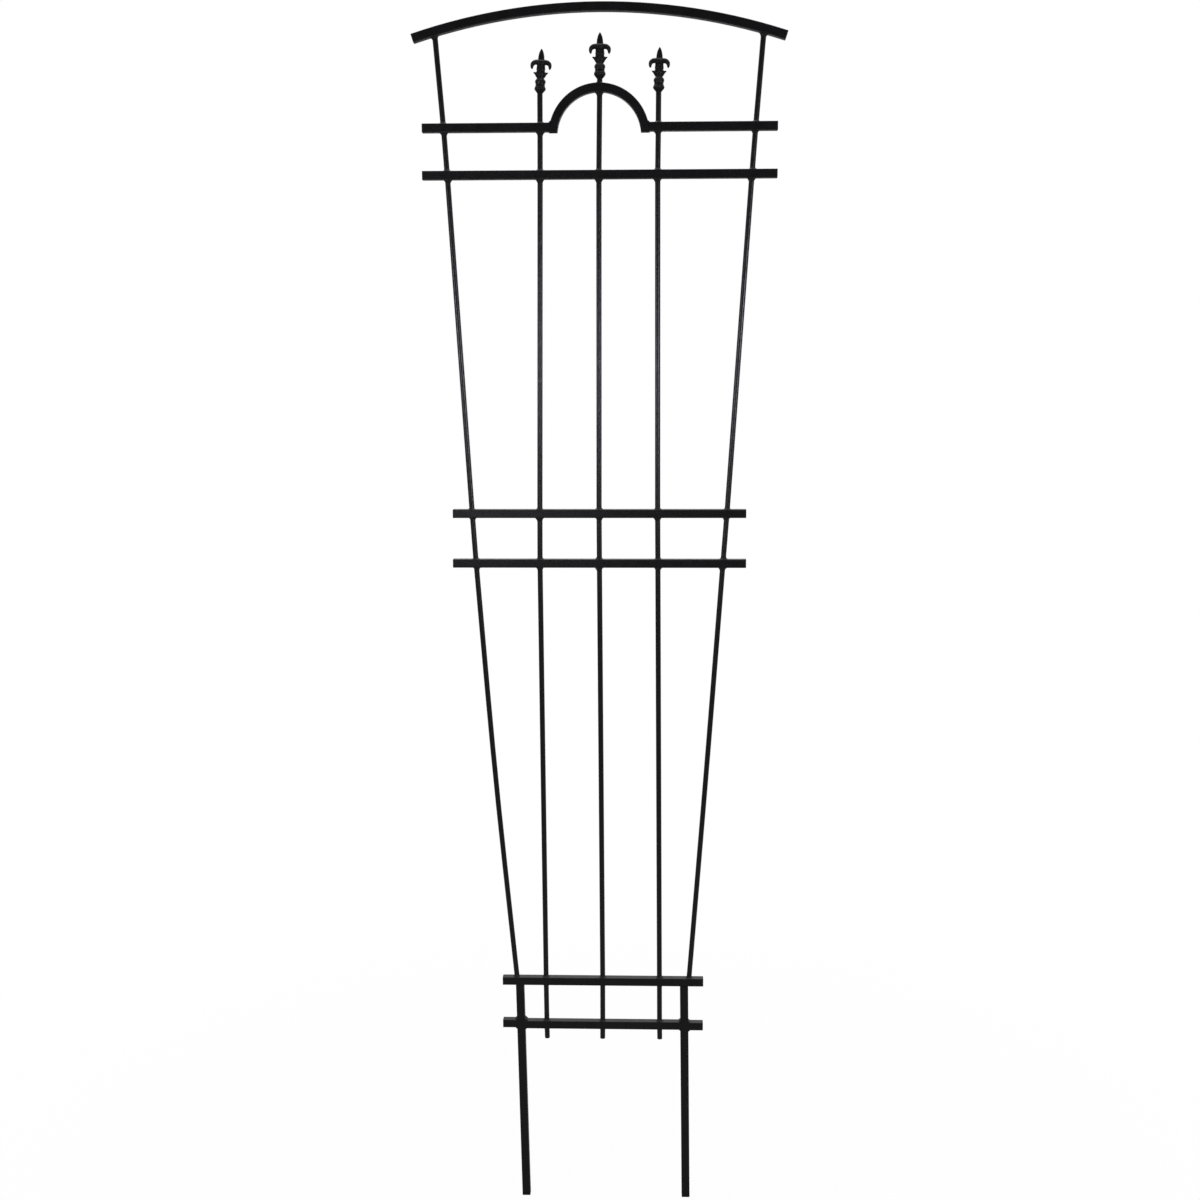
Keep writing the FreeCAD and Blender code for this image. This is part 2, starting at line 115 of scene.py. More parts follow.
class Graph:
    """Adds and joins the nodes of one shader or geometry tree."""

    def __init__(self, tree: bpy.types.NodeTree) -> None:
        """Works on the given tree."""
        self.tree = tree

    def feed(self, socket: bpy.types.NodeSocket, value: Feed) -> None:
        """Joins or sets one input socket, or leaves it where the value is None."""
        if isinstance(value, Value):
            self.tree.links.new(value.socket, socket)
        elif value is not None:
            socket.default_value = value

    def add(self, kind: str, *feeds: Feed, named: dict[str, Feed] | None = None,
            **settings: object) -> bpy.types.Node:
        """Adds one node.

        Args:
            kind: The node's type name.
            feeds: What goes into its first inputs, in order.
            named: What goes into inputs given by name.
            settings: The node's own properties.

        Returns:
            The new node.
        """
        node = self.tree.nodes.new(kind)
        for name, value in settings.items():
            setattr(node, name, value)
        for socket, value in zip(node.inputs, feeds):
            self.feed(socket, value)
        for name, value in (named or {}).items():
            self.feed(node.inputs[name], value)
        return node

    def out(self, kind: str, *feeds: Feed, output: int | str = 0, **rest: object) -> Value:
        """One output of a new node, the first unless another is asked for."""
        return Value(self, self.add(kind, *feeds, **rest).outputs[output])

    def math(self, operation: str, *feeds: Feed, clamp: bool = False) -> Value:
        """The result of one scalar sum."""
        return self.out("ShaderNodeMath", *feeds, operation=operation, use_clamp=clamp)

    def vector(self, operation: str, *feeds: Feed) -> Value:
        """The result of one vector sum."""
        node = self.add("ShaderNodeVectorMath", operation=operation)
        places = (0, 3) if operation == "SCALE" else (0, 1)
        for place, value in zip(places, feeds):
            self.feed(node.inputs[place], value)
        return Value(self, node.outputs["Value" if operation == "LENGTH" else "Vector"])

    def combine(self, x: Feed, y: Feed, z: Feed) -> Value:
        """A vector of three values."""
        return self.out("ShaderNodeCombineXYZ", x, y, z)

    def split(self, value: Value) -> list[Value]:
        """A vector's three values."""
        return [Value(self, part) for part in self.add("ShaderNodeSeparateXYZ", value).outputs]

    def ramp(self, value: Value, low: float, high: float, out_low: Feed = 0.0,
             out_high: Feed = 1.0) -> Value:
        """A value eased from one range to another, held at its ends.

        Args:
            value: What is eased.
            low: Where the easing starts.
            high: Where it ends.
            out_low: The result at and before the start.
            out_high: The result at and after the end.

        Returns:
            The eased value.
        """
        return self.out("ShaderNodeMapRange", value, low, high, out_low, out_high,
                        interpolation_type="SMOOTHSTEP")

    def noise(self, place: Value, size: Value | float, detail: float = 3.0,
              rough: float = 0.5, seed: Feed = 0.0) -> Value:
        """Noise from 0 to 1 whose lumps are about one size across.

        Args:
            place: The point that it is read at.
            size: The size of its lumps, in metres.
            detail: How many finer layers it has.
            rough: How strong the finer layers are.
            seed: Which of many noises this is.

        Returns:
            The noise's value.
        """
        return self.out("ShaderNodeTexNoise", noise_dimensions="4D", named={
            "Vector": place, "W": seed, "Scale": 1.0 / size, "Detail": detail,
            "Roughness": rough})

    def mix(self, share: Value, first: Feed, second: Feed) -> Value:
        """A colour between two, by share."""
        node = self.add("ShaderNodeMix", data_type="RGBA")
        for place, fed in ((0, share), (6, first), (7, second)):
            self.feed(node.inputs[place], fed)
        return Value(self, node.outputs[2])

    def profile(self, along: Value, points: Sequence[tuple[float, float]]) -> Value:
        """A value that follows straight lines between points.

        Args:
            along: Where on the way, from 0 to 1.
            points: (where, value) pairs, values from 0 to 1.

        Returns:
            The value on the way.
        """
        node = self.add("ShaderNodeFloatCurve", 1.0, along)
        curve = node.mapping.curves[0]
        curve.points[0].location, curve.points[1].location = points[0], points[-1]
        for point in points[1:-1]:
            curve.points.new(*point)
        for point in curve.points:
            point.handle_type = "VECTOR"
        node.mapping.use_clip = False
        node.mapping.update()
        return Value(self, node.outputs[0])

    def read(self, *names: str, kind: str = "FLOAT") -> list[Value]:
        """The named values that came with the points, all of one kind."""
        return [self.out("GeometryNodeInputNamedAttribute", name, data_type=kind,
                         output="Attribute") for name in names]

    def mark(self, shape: Value, name: str, value: Feed, kind: str = "FLOAT") -> Value:
        """A shape with a value stored on its points under a name."""
        return self.out("GeometryNodeStoreNamedAttribute", data_type=kind, named={
            "Geometry": shape, "Name": name, "Value": value})


FLOAT, VECTOR, COLOUR = "NodeSocketFloat", "NodeSocketVector", "NodeSocketColor"
GEOMETRY, MATERIAL = "NodeSocketGeometry", "NodeSocketMaterial"
SOCKET_OF = {float: FLOAT, int: "NodeSocketInt", tuple: COLOUR}


class Group(Graph):
    """A node group with named inputs and outputs."""

    def __init__(self, name: str, takes: dict[str, float | int | Colour | str],
                 gives: dict[str, str], kind: str = "ShaderNodeTree") -> None:
        """Starts the group.

        Args:
            name: The group's name.
            takes: Each input's name, with its default value or else its socket type.
            gives: Each output's name, with its socket type.
            kind: ShaderNodeTree or GeometryNodeTree.
        """
        super().__init__(bpy.data.node_groups.new(name, kind))
        sockets = self.tree.interface
        for title, value in takes.items():
            bare = isinstance(value, str)
            made = sockets.new_socket(name=title, in_out="INPUT",
                                      socket_type=value if bare else SOCKET_OF[type(value)])
            if not bare:
                made.default_value = value
        for title, socket in gives.items():
            sockets.new_socket(name=title, in_out="OUTPUT", socket_type=socket)
        self.source, self.sink = self.add("NodeGroupInput"), self.add("NodeGroupOutput")

    def __getitem__(self, title: str) -> Value:
        """One of the group's inputs."""
        return Value(self, self.source.outputs[title])

    def give(self, **results: Value) -> bpy.types.NodeTree:
        """Joins the group's outputs, and returns its finished tree."""
        for title, value in results.items():
            self.feed(self.sink.inputs[title], value)
        return self.tree


class Maker(Group):
    """A geometry group that makes a piece from bare points and puts its finish on it."""

    def __init__(self, name: str, takes: dict[str, float | int]) -> None:
        """Starts the group, with the points and the finish added to its inputs."""
        super().__init__(name, {"Geometry": GEOMETRY, **takes, "Finish": MATERIAL},
                         {"Geometry": GEOMETRY}, "GeometryNodeTree")

    def place(self) -> Value:
        """Where each point is now."""
        return self.out("GeometryNodeInputPosition")

    def normal(self) -> Value:
        """The way that each point faces."""
        return self.out("GeometryNodeInputNormal")

    def moved(self, shape: Value, **named: Value) -> Value:
        """A shape with its points set to a Position or moved by an Offset."""
        return self.out("GeometryNodeSetPosition", named={"Geometry": shape, **named})

    def on_points(self, shape: Value, **named: Value) -> Value:
        """Copies of a shape on every point that the group takes, made real."""
        laid = self.out("GeometryNodeInstanceOnPoints", named={
            "Points": self["Geometry"], "Instance": shape, **named})
        return self.out("GeometryNodeRealizeInstances", laid)

    def dressed(self, shape: Value) -> bpy.types.NodeTree:
        """Ends the group with a smooth shape in its finish, and returns its tree."""
        smooth = self.out("GeometryNodeSetShadeSmooth", shape)
        real = self.out("GeometryNodeRealizeInstances", smooth)
        return self.give(Geometry=self.out("GeometryNodeSetMaterial", named={
            "Geometry": real, "Material": self["Finish"]}))


def emptied(owner: bpy.types.Material | bpy.types.World) -> Graph:
    """The emptied shader graph of a material or a world."""
    owner.use_nodes = True
    owner.node_tree.nodes.clear()
    return Graph(owner.node_tree)


# ------------------------------------------------------------------ finishes
class Effects:
    """The shader groups that the finishes share, each made once."""

    def __init__(self) -> None:
        """Makes every group."""
        self.peel = self._peel()
        self.tone = self._tone()
        self.corner_wear_and_sheen = self._corner_wear_and_sheen()
        self.dust = self._dust()

    @staticmethod
    def _peel() -> bpy.types.NodeTree:
        """The fine dimples of a baked powder coat, over a slow waviness."""
        group = Group("powder_peel", {"Vector": VECTOR, "Dimple Size": 1.2 * MM,
                                      "Wave Size": 9.0 * MM, "Wave Share": 0.5},
                      {"Height": FLOAT})
        fine = group.noise(group["Vector"], group["Dimple Size"], 1.5, 0.45)
        wave = group.noise(group["Vector"], group["Wave Size"], 1.0, 0.4, seed=7.0)
        return group.give(Height=group.ramp(fine, 0.3, 0.72) + wave * group["Wave Share"])

    @staticmethod
    def _tone() -> bpy.types.NodeTree:
        """How a coat's colour and gloss wander over a piece, in patches and fine flecks."""
        group = Group("coat_tone", {
            "Vector": VECTOR, "Deep": grey(0.01), "Chalky": grey(0.02),
            "Patch Size": 50.0 * MM, "Fleck Size": 0.7 * MM, "Gloss Size": 13.0 * MM,
            "Low Gloss": 0.6, "High Gloss": 0.45}, {"Color": COLOUR, "Roughness": FLOAT})
        place = group["Vector"]
        patch = group.noise(place, group["Patch Size"], 4.0, 0.55, seed=3.0)
        fleck = group.noise(place, group["Fleck Size"], 1.0, 0.5, seed=11.0)
        gloss = group.noise(place, group["Gloss Size"], 3.0, 0.6, seed=5.0)
        cloud = group.ramp(patch, 0.3, 0.7, 0.0, 0.75) + group.ramp(fleck, 0.62, 0.78, 0.0, 0.25)
        return group.give(
            Color=group.mix(cloud, group["Deep"], group["Chalky"]),
            Roughness=group.ramp(gloss, 0.3, 0.7, group["High Gloss"], group["Low Gloss"]))

    @staticmethod
    def _corner_wear_and_sheen() -> bpy.types.NodeTree:
        """Where powder draws back from a square tube's long corners and rubs through, and where
        those corners are made paler as a painted highlight.

        Every tube lies in one upright plane, so a corner is where its normal leans out of it.
        """
        group = Group("corner_wear_and_sheen", {"Vector": VECTOR, "Normal": VECTOR,
                                     "Rub Size": 20.0 * MM}, {"Mask": FLOAT})
        lean = group.math("ABSOLUTE", group.split(group["Normal"])[1])
        corner = group.ramp(lean, 0.12, 0.6) * group.ramp(lean, 0.72, 0.97, 1.0, 0.0)
        rub = group.noise(group["Vector"], group["Rub Size"], 4.0, 0.65, seed=2.0)
        # Painted highlight and rubbed coat together: the rounded corners turn paler in patches.
        return group.give(Mask=corner * group.ramp(rub, 0.42, 0.66))

    @staticmethod
    def _dust() -> bpy.types.NodeTree:
        """A light film, with specks in it, that settles on whatever faces up."""
        group = Group("settled_dust", {"Vector": VECTOR, "Normal": VECTOR,
                                       "Film Size": 28.0 * MM, "Speck Size": 1.6 * MM},
                      {"Mask": FLOAT})
        up = group.ramp(group.split(group["Normal"])[2], 0.35, 0.98)
        film = group.noise(group["Vector"], group["Film Size"], 3.0, 0.6, seed=9.0)
        speck = group.noise(group["Vector"], group["Speck Size"], 2.0, 0.6, seed=4.0)
        laid = group.ramp(film, 0.25, 0.7, 0.25, 0.7) + group.ramp(speck, 0.55, 0.75, 0.0, 0.3)
        return group.give(Mask=group.math("MULTIPLY", up, laid, clamp=True))


class Surface(Enum):
    """What lies under a coat, which decides how it wears and where any painted highlight and
    shade go.
    """

    SQUARE = "square"      # wears along the long corners, which also carry a painted highlight
    ROUND = "round"        # wears in scattered patches
    RELIEF = "relief"      # wears pale on what stands proud; painted shade darkens its hollows


# The first colour is painted shade for the hollows, cut lines and weld toes of castings and
# welds; the second is the colour of settled dust.
PAINTED_HOLLOW_SHADE, DUST_GREY = grey(0.004), grey(0.22, 0.05)
ROUND_WEAR_SIZE = 30.0 * MM       # the rubbed patches of a round bar


@dataclass(frozen=True)
class Coat:
    """A finish: baked powder on steel, or the moulded plastic of the plugs."""

    name: str
    surface: Surface
    deep: Colour
    chalky: Colour
    # The colour that rubbed places pale towards; along the square tubes' corners it is also a
    # painted highlight.
    bare: Colour
    gloss: tuple[float, float]
    dimple_depth: float
    dust: float
    dimple: float = 1.2 * MM
    wave_share: float = 0.5
    specular: float = 0.4
    # How far rubbed places pale, and on square tubes how strong the painted corner highlight is.
    wear_and_sheen: float = 0.25

    def make(self, effects: Effects) -> bpy.types.Material:
        """Builds the finish's material.

        Args:
            effects: The shared shader groups.

        Returns:
            The material.
        """
        material = bpy.data.materials.new(self.name)
        graph = emptied(material)
        place = graph.out("ShaderNodeTexCoord", output="Object")
        normal = graph.out("ShaderNodeNewGeometry", output="Normal")

        def effect(tree: bpy.types.NodeTree, **values: Feed) -> dict[str, Value]:
            """The outputs of one shared group, placed with this finish's values."""
            named = {title.replace("_", " "): value for title, value in values.items()}
            node = graph.add("ShaderNodeGroup", node_tree=tree, named=named)
            return {socket.name: Value(graph, socket) for socket in node.outputs}

        tone = effect(effects.tone, Vector=place, Deep=self.deep, Chalky=self.chalky,
                      High_Gloss=self.gloss[0], Low_Gloss=self.gloss[1])
        colour = tone["Color"]
        if self.surface is Surface.SQUARE:
            # Square tubes: rubbed corners, which also serve as a painted highlight along the
            # corners.
            wear_and_sheen_mask = effect(effects.corner_wear_and_sheen, Vector=place, Normal=normal)["Mask"]
        elif self.surface is Surface.RELIEF:
            relief = graph.out("ShaderNodeAttribute", attribute_name="relief", output="Fac")
            wear_and_sheen_mask = graph.ramp(relief, 0.52, 0.78)
            # Painted shade: low relief, in hollows, cut lines and at weld toes, is darkened
            # towards near black.
            hollow_shade = graph.ramp(relief, 0.2, 0.46, 1.0, 0.0)
            colour = graph.mix(hollow_shade * 0.5, colour, PAINTED_HOLLOW_SHADE)
        else:
            patches = graph.noise(place, ROUND_WEAR_SIZE, 5.0, 0.7, seed=6.0)
            wear_and_sheen_mask = graph.ramp(patches, 0.6, 0.75)
        # Rubbed places, and on square tubes the painted corner highlight, pale towards the bare
        # colour.
        colour = graph.mix(wear_and_sheen_mask * self.wear_and_sheen, colour, self.bare)
        film = effect(effects.dust, Vector=place, Normal=normal)["Mask"] * self.dust
        colour = graph.mix(film, colour, DUST_GREY)
        rough = graph.math("MULTIPLY_ADD", film, 0.5, tone["Roughness"], clamp=True)
        height = effect(effects.peel, Vector=place, Dimple_Size=self.dimple,
                        Wave_Share=self.wave_share)["Height"]
        bump = graph.out("ShaderNodeBump", named={
            "Strength": 1.0, "Distance": self.dimple_depth, "Height": height})
        shader = graph.out("ShaderNodeBsdfPrincipled", named={
            "Base Color": colour, "Roughness": rough, "Normal": bump,
            "Specular IOR Level": self.specular, "IOR": 1.5})
        graph.add("ShaderNodeOutputMaterial", shader)
        return material


TUBE_COAT = Coat("satin_black_tube", Surface.SQUARE, (0.0044, 0.0041, 0.0045, 1.0),
                 (0.0075, 0.007, 0.0076, 1.0), grey(0.04, 0.04), gloss=(0.27, 0.36),
                 dimple_depth=0.007 * MM, dust=0.06, wear_and_sheen=0.3)
ROD_COAT = Coat("satin_black_bar", Surface.ROUND, grey(0.0045), grey(0.0075),
                grey(0.025, 0.04), gloss=(0.27, 0.33), dimple_depth=0.003 * MM, dust=0.0,
                specular=0.5, wear_and_sheen=0.12)
CASTING_COAT = Coat("satin_black_casting", Surface.RELIEF, grey(0.0032), grey(0.0058),
                    grey(0.03, 0.03), gloss=(0.34, 0.46), dimple_depth=0.03 * MM, dust=0.04,
                    dimple=0.9 * MM, wave_share=0.8, specular=0.3)
WELD_COAT = Coat("satin_black_weld", Surface.RELIEF, grey(0.004), grey(0.0072),
                 grey(0.03, 0.05), gloss=(0.33, 0.46), dimple_depth=0.02 * MM, dust=0.05,
                 dimple=0.8 * MM)
PLUG_PLASTIC = Coat("matt_black_plastic", Surface.SQUARE, grey(0.004), grey(0.0065),
                    grey(0.02), gloss=(0.5, 0.6), dimple_depth=0.008 * MM, dust=0.05,
                    dimple=0.5 * MM, wave_share=0.1, wear_and_sheen=0.12)


class Finishes:
    """The finished materials, by the record's slots."""

    def __init__(self) -> None:
        """Makes the shared groups and every material."""
        effects = Effects()
        self.by_slot = {slot: coat.make(effects) for slot, coat in {
            "tube": TUBE_COAT, "rod": ROD_COAT, "casting": CASTING_COAT,
            "weld": WELD_COAT, "plug": PLUG_PLASTIC}.items()}

    def dress(self, nodes: Iterable[str], slot: str) -> None:
        """Puts a slot's material on CAD nodes whose shapes stay.

        Args:
            nodes: The nodes' names.
            slot: The record's material slot.
        """
        for name in nodes:
            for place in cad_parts[name].material_slots:
                place.material = self.by_slot[slot]
            log.info("%s dressed with %s", name, self.by_slot[slot].name)


# ------------------------------------------------------------------ making pieces
def object_from(mesh: bpy.types.Mesh, name: str) -> bpy.types.Object:
    """A linked object at the origin that holds the mesh."""
    made = bpy.data.objects.new(name, mesh)
    bpy.context.scene.collection.objects.link(made)
    return made


def mesh_of(shape: bmesh.types.BMesh, name: str) -> bpy.types.Mesh:
    """A new mesh that holds the shape, which is freed."""
    mesh = bpy.data.meshes.new(name)
    shape.to_mesh(mesh)
    shape.free()
    return mesh


def box_of(points: Sequence[Vector]) -> list[Vector]:
    """The low and high corners of the box round some points."""
    return [Vector([pick(point[axis] for point in points) for axis in range(3)])
            for pick in (min, max)]


def plain_mesh(source: bpy.types.Object, name: str) -> bpy.types.Mesh:
    """The object's evaluated shape as a plain mesh; the object and its modifiers go.

    Args:
        source: The object with live modifiers.
        name: The new mesh's name.

    Returns:
        The plain mesh.
    """
    depsgraph = bpy.context.evaluated_depsgraph_get()
    mesh = bpy.data.meshes.new_from_object(source.evaluated_get(depsgraph))
    mesh.name = name
    bpy.data.objects.remove(source)
    return mesh


def hand_over(piece: bpy.types.Object, slot: str, *nodes: str) -> None:
    """Makes a finished piece part of the object in place of CAD nodes.

    Args:
        piece: The piece, with its place in its mesh.
        slot: The record's material slot; not used.
        nodes: The CAD nodes that it stands for.
    """
    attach(piece, BODY)
    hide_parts(*nodes)
    log.info("%s: %d faces, for %s", piece.name, len(piece.data.polygons), ", ".join(nodes))


def run_tree(points: bpy.types.Mesh, tree: bpy.types.NodeTree, values: dict[str, object],
             name: str) -> bpy.types.Mesh:
    """Runs a geometry tree on a mesh of bare points.

    Args:
        points: The mesh of points, with the attributes that the tree reads.
        tree: The geometry tree.
        values: Its inputs by name.
        name: The result's name.

    Returns:
        The result as a plain mesh.
    """
    carrier = object_from(points, name)
    modifier = carrier.modifiers.new("made_by_rule", "NODES")
    modifier.node_group = tree
    for item in tree.interface.items_tree:
        if item.item_type == "SOCKET" and item.in_out == "INPUT" and item.name in values:
            modifier[item.identifier] = values[item.name]
    return plain_mesh(carrier, name)


def point_cloud(name: str, rows: Sequence[dict[str, object]]) -> bpy.types.Mesh:
    """A mesh of bare points with one attribute for each named value.

    Args:
        name: The mesh's name.
        rows: For each point, its values by name; "centre" is its place.

    Returns:
        The mesh.
    """
    mesh = bpy.data.meshes.new(name)
    mesh.from_pydata([tuple(row["centre"]) for row in rows], [], [])
    for title, first in rows[0].items():
        vector = isinstance(first, Vector)
        layer = mesh.attributes.new(title, "FLOAT_VECTOR" if vector else "FLOAT", "POINT")
        for place, row in zip(layer.data, rows):
            if vector:
                place.vector = row[title]
            else:
                place.value = row[title]
    return mesh


TUBE_NODES = ("top_arch_rail", "hoop", "upper_rail_left", "upper_rail_right", "shoulder_rail",
              "middle_rail_upper", "middle_rail_lower", "bottom_rail_upper",
              "bottom_rail_lower", "bottom_stub_left", "bottom_stub_right", "left_stake",
              "right_stake")
ROD_NODES = ("left_side_rod", "left_picket", "center_picket", "right_picket", "right_side_rod")


def cad_skin(nodes: Iterable[str]) -> BVHTree:
    """The triangles of CAD nodes joined, for probing with straight lines."""
    places, faces = [], []
    for node in nodes:
        mesh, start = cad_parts[node].data, len(places)
        places += [v.co.copy() for v in mesh.vertices]
        faces += [tuple(start + n for n in p.vertices) for p in mesh.polygons]
    return BVHTree.FromPolygons(places, faces)


class CadShape:
    """An upright CAD node, probed in the middle plane."""

    def __init__(self, node: str) -> None:
        """Reads the node's triangles."""
        self.low, self.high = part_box(node)
        self.skin = cad_skin((node,))

    def middle_at(self, z: float) -> float | None:
        """The x of the shape's middle at one height, or None where it isn't."""
        far = 2.0
        hits = [self.skin.ray_cast(Vector((-side * far, 0.0, z)), Vector((side, 0.0, 0.0)))[0]
                for side in (1.0, -1.0)]
        return None if None in hits else (hits[0].x + hits[1].x) / 2


# ------------------------------------------------------------------ bars
@dataclass
class Bars:
    """The five round bars, swept along the middle lines of their CAD nodes."""

    finishes: Finishes
    radius: float = 3.95 * MM
    step: float = 4.0 * MM            # between stations along a bar
    sides: int = 36
    end_round: float = 0.55 * MM      # the coat softens the sawn ends
    hammer: float = 0.035 * MM        # how far the drawn bar wanders from true
    hammer_size: float = 11.0 * MM
    first_seed: float = 10.0

    def __post_init__(self) -> None:
        """Reads the five CAD bars."""
        self.lines = {node: CadShape(node) for node in ROD_NODES}

    def tree(self) -> bpy.types.NodeTree:
        """A geometry tree that sweeps a slightly uneven round bar along a line of points."""
        group = Maker("swept_bar", {
            "Radius": self.radius, "Sides": self.sides, "End Round": self.end_round,
            "Unevenness": self.hammer, "Lump Size": self.hammer_size, "Seed": 1.0})
        curve = group.out("GeometryNodeMeshToCurve", group["Geometry"])
        along = group.out("GeometryNodeSplineParameter", output="Length")
        whole = group.out("GeometryNodeSplineLength", output="Length")
        # Within the rounding of an end, the radius follows a quarter circle.
        edge = group["End Round"]
        from_end = group.math("MINIMUM", along, whole - along)
        bite = group.math("MAXIMUM", edge - from_end, 0.0)
        radius = group["Radius"] - (edge - group.math("SQRT", edge * edge - bite * bite))
        shaped = group.out("GeometryNodeSetCurveRadius", named={
            "Curve": curve, "Radius": radius})
        ring = group.out("GeometryNodeCurvePrimitiveCircle", named={
            "Resolution": group["Sides"], "Radius": 1.0})
        swept = group.add("GeometryNodeCurveToMesh", named={
            "Curve": shaped, "Profile Curve": ring, "Fill Caps": True})
        if "Scale" in swept.inputs:
            group.feed(swept.inputs["Scale"], radius)
        lump = group.noise(group.place(), group["Lump Size"], 2.0, 0.5, group["Seed"])
        push = (lump - 0.5) * (group["Unevenness"] * 2.0)
        return group.dressed(group.moved(Value(group, swept.outputs[0]),
                                         Offset=group.normal() * push))

    def stations(self, line: CadShape) -> list[Vector]:
        """Points along a bar's middle, close together at its ends for their rounding.

        Args:
            line: The bar's CAD shape.

        Returns:
            The points, from the foot up.
        """
        low, high = line.low.z, line.high.z
        edge = self.end_round
        near = [0.0, edge * 0.12, edge * 0.3, edge * 0.6, edge]
        heights = [low + d for d in near]
        count = max(2, round((high - low - 2 * edge) / self.step))
        heights += [low + edge + (high - low - 2 * edge) * n / count for n in range(1, count)]
        heights += [high - d for d in reversed(near)]
        found = []
        for z in heights:
            probe = min(max(z, low + 1 * MM), high - 1 * MM)
            found.append(Vector((line.middle_at(probe), 0.0, z)))
        # Within its roundings, a bar goes on straight from the stations beside them.
        for run in (found, found[::-1]):
            first, second = run[len(near)], run[len(near) + 4]
            lean = (second.x - first.x) / (second.z - first.z)
            for point in run[:len(near)]:
                point.x = first.x + lean * (point.z - first.z)
        return found

    def build(self) -> None:
        """Makes each bar and hands it over."""
        tree = self.tree()
        for number, (node, line) in enumerate(self.lines.items()):
            points = self.stations(line)
            mesh = bpy.data.meshes.new(node)
            mesh.from_pydata(points, [(n, n + 1) for n in range(len(points) - 1)], [])
            name = f"{node}_bar"
            bar = run_tree(mesh, tree, {"Seed": self.first_seed + number,
                                        "Finish": self.finishes.by_slot["rod"]}, name)
            hand_over(object_from(bar, name), "rod", node)


# ------------------------------------------------------------------ welds
@dataclass(frozen=True)
class Blob:
    """The box of one loose lump in a CAD weld node."""

    low: Vector
    high: Vector

    @property
    def middle(self) -> Vector:
        """The middle of the box."""
        return (self.low + self.high) / 2

    @staticmethod
    def of(node: str) -> list["Blob"]:
        """The lumps of a node, left to right.

        Args:
            node: The weld node's name.

        Returns:
            One Blob for each lump.
        """
        shape = bmesh.new()
        shape.from_mesh(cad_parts[node].data)
        bmesh.ops.remove_doubles(shape, verts=shape.verts, dist=0.01 * MM)
        unseen, blobs = set(shape.verts), []
        while unseen:
            edge, lump = [unseen.pop()], []
            while edge:
                vert = edge.pop()
                lump.append(vert.co.copy())
                for link in vert.link_edges:
                    other = link.other_vert(vert)
                    if other in unseen:
                        unseen.remove(other)
                        edge.append(other)
            blobs.append(Blob(*box_of(lump)))
        shape.free()
        return sorted(blobs, key=lambda blob: (round(blob.middle.x, 4), blob.middle.z))


